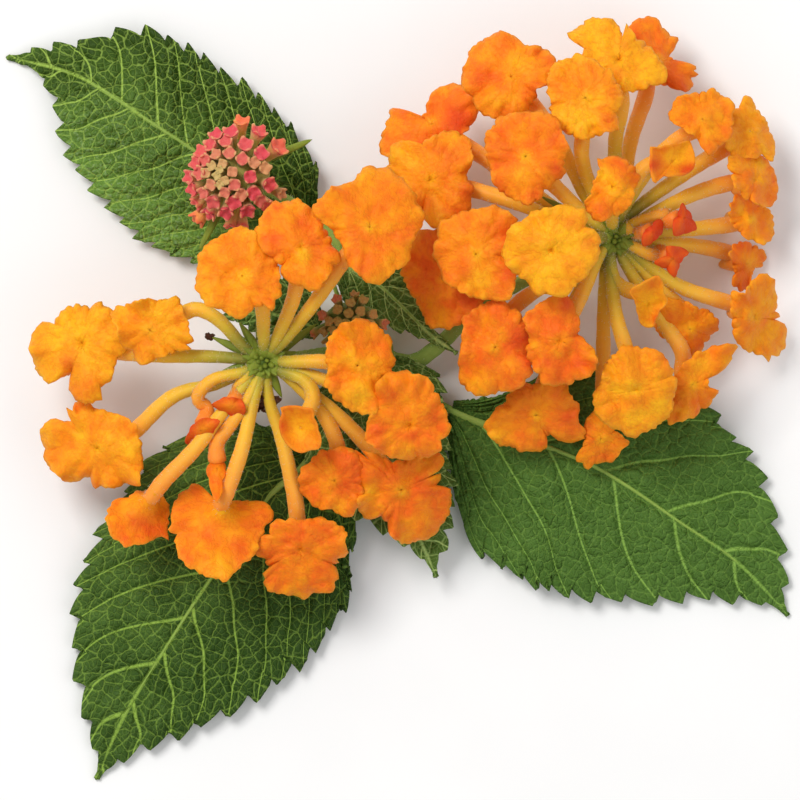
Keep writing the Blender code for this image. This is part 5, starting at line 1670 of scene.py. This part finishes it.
@dataclass
class Stem:
    """The main stem with the stalks of all the heads.

    A stalk is its course, and its radius in millimetres at the start and at the end.
    """

    joint: Spot = (376, 350, 1.9)
    radius: float = 1.36
    main: tuple = ((370, 332, 1.75), (376, 350, 1.7), (392, 395, 1.5), (408, 440, 1.45), (424, 498, 1.45))
    stalks: tuple = (
        (((376, 350, 2.0), (350, 352, 3.0), (322, 355, 4.6), (294, 359, 6.8), (266, 361, 9.4)), 0.85, 0.65),
        (((376, 350, 1.9), (396, 361, 2.7), (416, 361, 3.5), (438, 346, 4.3), (463, 322, 4.9),
          (487, 302, 5.4), (545, 270, 6.3), (588, 249, 7.4), (612, 238, 8.6)), 0.9, 0.62),
        (((376, 350, 2.4), (358, 312, 3.4), (346, 270, 4.2), (333, 238, 5.1), (298, 207, 6.0),
          (262, 188, 6.2), (244, 175, 6.45)), 0.6, 0.48),
        (((376, 350, 2.6), (374, 338, 4.6), (362, 327, 6.6), (352, 320, 7.6)), 0.5, 0.42),
    )

    @staticmethod
    def stalk(points: tuple, start: float, end: float, ribs: float) -> bmesh.types.BMesh:
        """One stalk.

        Args:
            points: sheet points and heights along it.
            start: its radius in millimetres where it starts.
            end: its radius where it ends.
            ribs: how far its four ribs stand out.
        Returns:
            The stalk.
        """
        path = resample(smooth_path([place(*p) for p in points], 12), 90)
        radii = np.linspace(start, end, 90) * MM
        radii[1] *= 0.99
        data = np.stack([np.full(90, 0.5), np.linspace(0.3, 0.8, 90), np.zeros(90)], axis=1)

        def section(angle: np.ndarray, along: np.ndarray) -> np.ndarray:
            """Four ribs and a slight waviness."""
            return 1 + ribs * np.cos(4 * angle) + 0.03 * np.sin(17 * along * 6.28 + angle)

        return sweep(path, radii, 24, section, data)

    def dress(self, green: bpy.types.Material, hair: bpy.types.Material) -> list[bpy.types.Object]:
        """Make the stem.

        Args:
            green: its material.
            hair: its hairs' material.
        Returns:
            The pieces.
        """
        body = Builder("stem_and_stalks")
        body.add(self.stalk(self.main, self.radius, self.radius, 0.03))
        for points, start, end in self.stalks:
            body.add(self.stalk(points, start, end, 0.08))

        def skin(ball: Vector) -> Vector:
            """A point of the swelling where stalks and petioles leave the stem."""
            size = 1 + 0.06 * noise.noise(ball * 2.5)
            return place(*self.joint) + Vector((ball.x * 1.9, ball.y * 1.9, ball.z * 1.7)) * MM * size

        body.add(lump(skin, lambda ball: (0.5, 0.4, 0.0)))
        fuzz = Builder("stem_hairs")
        rng = np.random.default_rng(21)
        for points, start, end in ((self.main, 1.42, 1.42),) + self.stalks:
            path = resample(smooth_path([place(*p) for p in points], 12), 90)
            fuzz.add(bristles(path, np.linspace(start, end, 90) * MM, 420, 0.4, rng))
        return [body.build(green, "stem", ("stem",)), fuzz.build(hair, "stem")]


@dataclass(frozen=True)
class Scrap:
    """One dry scrap: its sheet point, and its height and size in millimetres."""

    x: float
    y: float
    z: float
    size: float

    def fold(self, ball: Vector) -> float:
        """How far the crumpled skin stands out.

        Args:
            ball: a point of the unit sphere.
        Returns:
            The share of the scrap's size.
        """
        coarse = noise.noise(ball * 1.9 + Vector((self.x, self.y, self.z)))
        fine = noise.noise(ball * 4.5 + Vector((self.y, self.z, self.x)))
        return 1 + 0.7 * coarse + 0.3 * fine

    def skin(self, ball: Vector) -> Vector:
        """A point of the crumpled skin in metres, from one of the unit sphere."""
        flat = Vector((ball.x, ball.y * 0.8, ball.z * 0.55))
        return place(self.x, self.y, self.z) + flat * self.size * MM * self.fold(ball)

    def build(self) -> bmesh.types.BMesh:
        """Make the scrap."""
        # Painted shade: lighter where the crumpled skin stands out and darker in its hollows.
        return lump(self.skin, lambda ball: (self.fold(ball) - 0.6, 0.5, 0.0))


@dataclass
class Withered:
    """Dark dry scraps of dropped florets, caught under a head."""

    spots: tuple = (Scrap(262, 400, 12.4, 0.75), Scrap(269, 407, 11.9, 0.8), Scrap(257, 408, 11.6, 0.5),
                    Scrap(211, 337, 11.6, 0.45), Scrap(276, 400, 12.2, 0.5))

    def dress(self, brown: bpy.types.Material) -> list[bpy.types.Object]:
        """Make the scraps.

        Args:
            brown: their material.
        Returns:
            The piece.
        """
        scraps = Builder("withered_scraps")
        for scrap in self.spots:
            scraps.add(scrap.build())
        return [scraps.build(brown, "stem")]


BLADES = (
    Leaf("leaf_upper_left",
         LeafFinish("leaf_upper_left", dark=(0.026, 0.06, 0.004), light=(0.125, 0.24, 0.036),
                    vein=(0.4, 0.58, 0.1), gloss=0.46, painted_glint=1.0, thin=26.0, web=0.5),
         ((300, 225, 3.2), (245, 186, 3.5), (190, 148, 3.8), (150, 122, 3.6), (110, 95, 3.0),
          (70, 73, 2.1), (8, 57, 0.75)),
         ((0, 3.0), (0.06, 7.5), (0.17, 10.0), (0.24, 11.2), (0.41, 11.5), (0.49, 10.6),
          (0.62, 9.2), (0.73, 6.9), (0.78, 5.2), (0.85, 2.6), (0.92, 1.1), (1, 0)),
         ((0, 3.5), (0.04, 6.1), (0.15, 8.1), (0.29, 9.4), (0.54, 9.5), (0.65, 8.9),
          (0.7, 7.9), (0.76, 5.9), (0.79, 4.4), (0.85, 2.9), (0.94, 1.7), (1, 0)),
         teeth=16, fold=-0.14, wave=0.45, phase=0.4,
         petiole=((318, 240, 2.1), (340, 275, 1.7), (360, 315, 1.5), (372, 342, 1.5)),
         seed=3, veins=8, sweep_ahead=0.34, pale=(-0.3, 0.55)),
    Leaf("leaf_lower_left",
         LeafFinish("leaf_lower_left", dark=(0.027, 0.066, 0.007), light=(0.13, 0.245, 0.042),
                    vein=(0.32, 0.5, 0.075), gloss=0.5, painted_glint=0.0, thin=20.0),
         ((325, 438, 3.4), (304, 465, 3.8), (264, 503, 4.0), (212, 577, 3.8), (183, 621, 3.3),
          (127, 711, 2.0), (97, 778, 0.75)),
         ((0, 2.0), (0.04, 5.5), (0.11, 10.3), (0.23, 13.6), (0.36, 14.3), (0.47, 13.9),
          (0.63, 11.2), (0.77, 7.3), (0.84, 5.2), (0.89, 3.4), (0.95, 1.7), (1, 0)),
         ((0, 2.0), (0.04, 5.0), (0.1, 8.2), (0.19, 11.4), (0.28, 13.4), (0.53, 13.2),
          (0.66, 11.3), (0.74, 9.0), (0.83, 5.6), (0.89, 3.3), (0.95, 1.3), (1, 0)),
         teeth=16, fold=-0.13, wave=0.5, phase=1.7,
         petiole=((332, 430, 2.5), (350, 403, 1.9), (364, 376, 1.6), (372, 358, 1.5)),
         seed=5, veins=6, sweep_ahead=0.5, pale=(0.15, -0.3)),
    Leaf("leaf_lower_right",
         LeafFinish("leaf_lower_right", dark=(0.056, 0.126, 0.017), light=(0.12, 0.24, 0.04),
                    vein=(0.27, 0.46, 0.08), gloss=0.5, painted_glint=0.0, thin=26.0, web=0.28),
         ((451, 411, 3.1), (484, 424, 3.5), (545, 446, 4.0), (591, 465, 4.1), (630, 488, 3.9),
          (681, 523, 3.2), (737, 562, 2.1), (788, 615, 0.75)),
         ((0, 1.5), (0.1, 4.2), (0.17, 7.2), (0.27, 10.8), (0.38, 12.6), (0.48, 12.8),
          (0.58, 11.8), (0.7, 10.4), (0.77, 8.4), (0.84, 5.4), (0.9, 3.5), (1, 0)),
         ((0, 2.0), (0.04, 5.5), (0.09, 9.6), (0.14, 12.9), (0.23, 14.3), (0.38, 14.8),
          (0.48, 14.0), (0.61, 11.3), (0.7, 8.5), (0.81, 5.2), (0.9, 2.5), (1, 0)),
         teeth=16, fold=-0.12, wave=0.5, phase=3.0,
         petiole=((442, 406, 2.2), (420, 394, 1.8), (398, 374, 1.6), (386, 362, 1.6)),
         seed=9, veins=4, sweep_ahead=0.46, bare=0.2),
    Leaf("leaf_middle",
         LeafFinish("leaf_middle", dark=(0.05, 0.1, 0.01), light=(0.16, 0.28, 0.045),
                    vein=(0.5, 0.66, 0.2), gloss=0.5, painted_glint=0.4, thin=28.0, web=0.5),
         ((374, 362, 5.5), (380, 400, 5.7), (390, 450, 5.5), (406, 505, 4.9), (436, 576, 3.6)),
         ((0, 3.0), (0.03, 5.5), (0.08, 7.0), (0.19, 7.4), (0.35, 7.1), (0.48, 6.5),
          (0.61, 6.0), (0.69, 5.4), (0.83, 3.5), (0.91, 2.0), (1, 0)),
         ((0, 3.0), (0.05, 6.0), (0.13, 8.7), (0.31, 9.3), (0.47, 8.4), (0.55, 7.2),
          (0.62, 5.6), (0.69, 4.2), (0.79, 2.4), (0.9, 1.1), (1, 0)),
         teeth=11, fold=-0.06, wave=0.3, phase=0.9,
         petiole=((374, 372, 4.6), (376, 364, 4.4), (377, 356, 4.3)),
         long=150, wide=90, seed=13, veins=6, slim=0.5),
    Leaf("leaf_upper_middle",
         LeafFinish("leaf_upper_middle", dark=(0.044, 0.09, 0.008), light=(0.17, 0.3, 0.05),
                    vein=(0.5, 0.68, 0.2), gloss=0.46, painted_glint=1.6, thin=28.0, web=0.45),
         ((345, 266, 5.9), (378, 285, 6.2), (400, 305, 6.5), (415, 320, 6.6), (430, 335, 6.6),
          (456, 353, 6.2)),
         ((0, 2.5), (0.15, 4.5), (0.3, 4.4), (0.45, 3.4), (0.6, 2.2), (0.75, 1.4), (0.9, 0.8), (1, 0)),
         ((0, 2.5), (0.15, 4.6), (0.3, 4.6), (0.45, 3.6), (0.6, 2.3), (0.75, 1.4), (0.9, 0.8), (1, 0)),
         teeth=8, fold=-0.05, wave=0.2, phase=2.2,
         petiole=((352, 269, 5.1), (338, 266, 4.6), (334, 285, 4.0), (350, 322, 3.2),
                  (364, 340, 2.9)),
         long=110, wide=60, seed=17, veins=5, slim=0.5),
    Leaf("leaf_small",
         LeafFinish("leaf_small", dark=(0.034, 0.08, 0.008), light=(0.12, 0.22, 0.035),
                    vein=(0.32, 0.5, 0.12), gloss=0.5, painted_glint=0.0, thin=18.0, web=0.5),
         ((318, 330, 6.3), (296, 320, 6.5), (270, 314, 6.4), (245, 314, 6.1), (220, 318, 5.6)),
         ((0, 1.5), (0.2, 2.6), (0.4, 3.0), (0.6, 2.6), (0.8, 1.4), (1, 0)),
         ((0, 2.0), (0.2, 4.0), (0.4, 4.8), (0.6, 4.0), (0.8, 2.0), (1, 0)),
         teeth=7, fold=-0.05, wave=0.2, phase=0.3,
         petiole=((312, 328, 5.6), (330, 334, 5.0), (350, 343, 4.4), (362, 348, 3.9)),
         long=90, wide=50, seed=19, veins=5, slim=0.5),
)


@dataclass
class Studio:
    """Pale floor, soft lights and the camera over the sprig."""

    floor_size: float = 2.4
    key_spot: Spot = (-0.35, 0.38, 0.7)
    key_size: float = 0.35
    key_power: float = 4.9
    fill_spot: Spot = (0.55, -0.25, 0.55)
    fill_size: float = 0.6
    fill_power: float = 0.9
    sky_strength: float = 0.56

    def floor(self) -> bpy.types.Object:
        """A pale, faintly mottled floor.

        Returns:
            The floor.
        """
        made = bmesh.new()
        bmesh.ops.create_grid(made, x_segments=2, y_segments=2, size=self.floor_size / 2)
        mesh = bpy.data.meshes.new("floor")
        made.to_mesh(mesh)
        made.free()
        kit = ShaderKit.start("floor")
        tone = kit.ramp(kit.noise(40.0, 2.0), [(0.3, (0.9, 0.9, 0.9)), (0.7, (0.93, 0.93, 0.93))])
        kit.link(tone, kit.shader.inputs["Base Color"])
        kit.set(Roughness=0.8, Specular_IOR_Level=0.1)
        mesh.materials.append(kit.material)
        item = bpy.data.objects.new("floor", mesh)
        bpy.context.scene.collection.objects.link(item)
        return item

    def light(self, name: str, spot: Spot, size: float, power: float, colour: Colour) -> None:
        """A soft square light that points at the sprig.

        Args:
            name: its name.
            spot: its place in metres.
            size: its width in metres.
            power: its power in watts.
            colour: its colour.
        """
        lamp = bpy.data.lights.new(name, "AREA")
        lamp.size = size
        lamp.energy = power
        lamp.color = colour
        item = bpy.data.objects.new(name, lamp)
        item.location = spot
        item.rotation_euler = (-Vector(spot)).to_track_quat("-Z", "Y").to_euler()
        bpy.context.scene.collection.objects.link(item)

    def sky(self) -> None:
        """Even white surroundings."""
        world = bpy.data.worlds.new("studio")
        world.use_nodes = True
        backdrop = world.node_tree.nodes["Background"]
        backdrop.inputs["Color"].default_value = (1.0, 1.0, 1.0, 1.0)
        backdrop.inputs["Strength"].default_value = self.sky_strength
        bpy.context.scene.world = world

    def camera(self) -> None:
        """The camera, straight above the sheet's middle."""
        data = bpy.data.cameras.new("camera")
        data.lens = CAMERA_LENS
        data.sensor_width = SENSOR
        data.clip_end = 20.0
        item = bpy.data.objects.new("camera", data)
        middle = place(*SHEET_ORIGIN, 0)
        item.location = (middle.x, middle.y, CAMERA_HEIGHT)
        bpy.context.scene.collection.objects.link(item)
        bpy.context.scene.camera = item

    def build(self) -> None:
        """Set the stage."""
        self.floor()
        self.light("key", self.key_spot, self.key_size, self.key_power, (1.0, 0.985, 0.96))
        self.light("fill", self.fill_spot, self.fill_size, self.fill_power, (0.96, 0.98, 1.0))
        self.sky()
        self.camera()
        bpy.context.scene.view_settings.view_transform = "Standard"


HEADS = (
    FlowerHead("left_head", "left_head_florets", LEFT_CENTRE, LEFT_FLORETS, LEFT_BRACTS, seed=3),
    FlowerHead("right_head", "right_head_florets", RIGHT_CENTRE, RIGHT_FLORETS, RIGHT_BRACTS, seed=7),
)
PINK_KNOB = BudKnob("pink_bud_head", centre=(240, 173, 10.2), core=(3.9, 4.1, 3.2), dome=(6.1, 6.1, 4.6),
                    buds=PINK_BUDS, length=2.8, seed=11, bracts=((313, 141, 9.6), (200, 252, 8.6)))
YOUNG_KNOB = BudKnob("young_bud_head", centre=(351, 318, 10.4), core=(3.1, 1.9, 1.7), dome=(4.2, 3.0, 2.5),
                     buds=YOUNG_BUDS, length=1.7, seed=5, star=0.12)
GREEN = StemFinish("stem", dark=(0.14, 0.24, 0.03), light=(0.32, 0.46, 0.09))
CALYX = StemFinish("calyx", dark=(0.055, 0.105, 0.01), light=(0.3, 0.36, 0.035))
BROWN = StemFinish("withered", dark=(0.018, 0.006, 0.003), light=(0.085, 0.03, 0.012))
TUBE_HAIR = HairFinish("plant_hair", (0.86, 0.7, 0.42))
STEM_HAIR = HairFinish("stem_hair", (0.55, 0.66, 0.34))
PINK = BudFinish("bud_pink", side=(0.36, 0.35, 0.06), middle=(0.74, 0.4, 0.16), tip=(0.68, 0.04, 0.07),
                 pale=(0.56, 0.44, 0.14), bloom=(0.9, 0.46, 0.36))
YOUNG = BudFinish("bud_green", side=(0.13, 0.19, 0.025), middle=(0.38, 0.24, 0.04),
                  tip=(0.55, 0.13, 0.055), pale=(0.38, 0.31, 0.055), bloom=(0.56, 0.46, 0.16))


def main() -> None:
    """Build the looks."""
    Studio().build()
    petal, tube = PetalFinish().build(), TubeFinish().build()
    green, calyx, brown = GREEN.build(), CALYX.build(), BROWN.build()
    tube_hair, stem_hair = TUBE_HAIR.build(), STEM_HAIR.build()
    pink, young = PINK.build(), YOUNG.build()
    made = Stem().dress(green, stem_hair) + Withered().dress(brown)
    for blade in BLADES:
        made += blade.dress(green)
    for head in HEADS:
        made += head.dress(petal, tube, calyx, tube_hair)
    made += PINK_KNOB.dress(pink, "bud_pink", calyx)
    made += YOUNG_KNOB.dress(young, "bud_green", calyx)
    for piece in made:
        LOG.info("%s %d faces", piece.name, len(piece.data.polygons))
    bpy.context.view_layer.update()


if __name__ == "__main__":
    logging.basicConfig(level=logging.INFO)
    main()
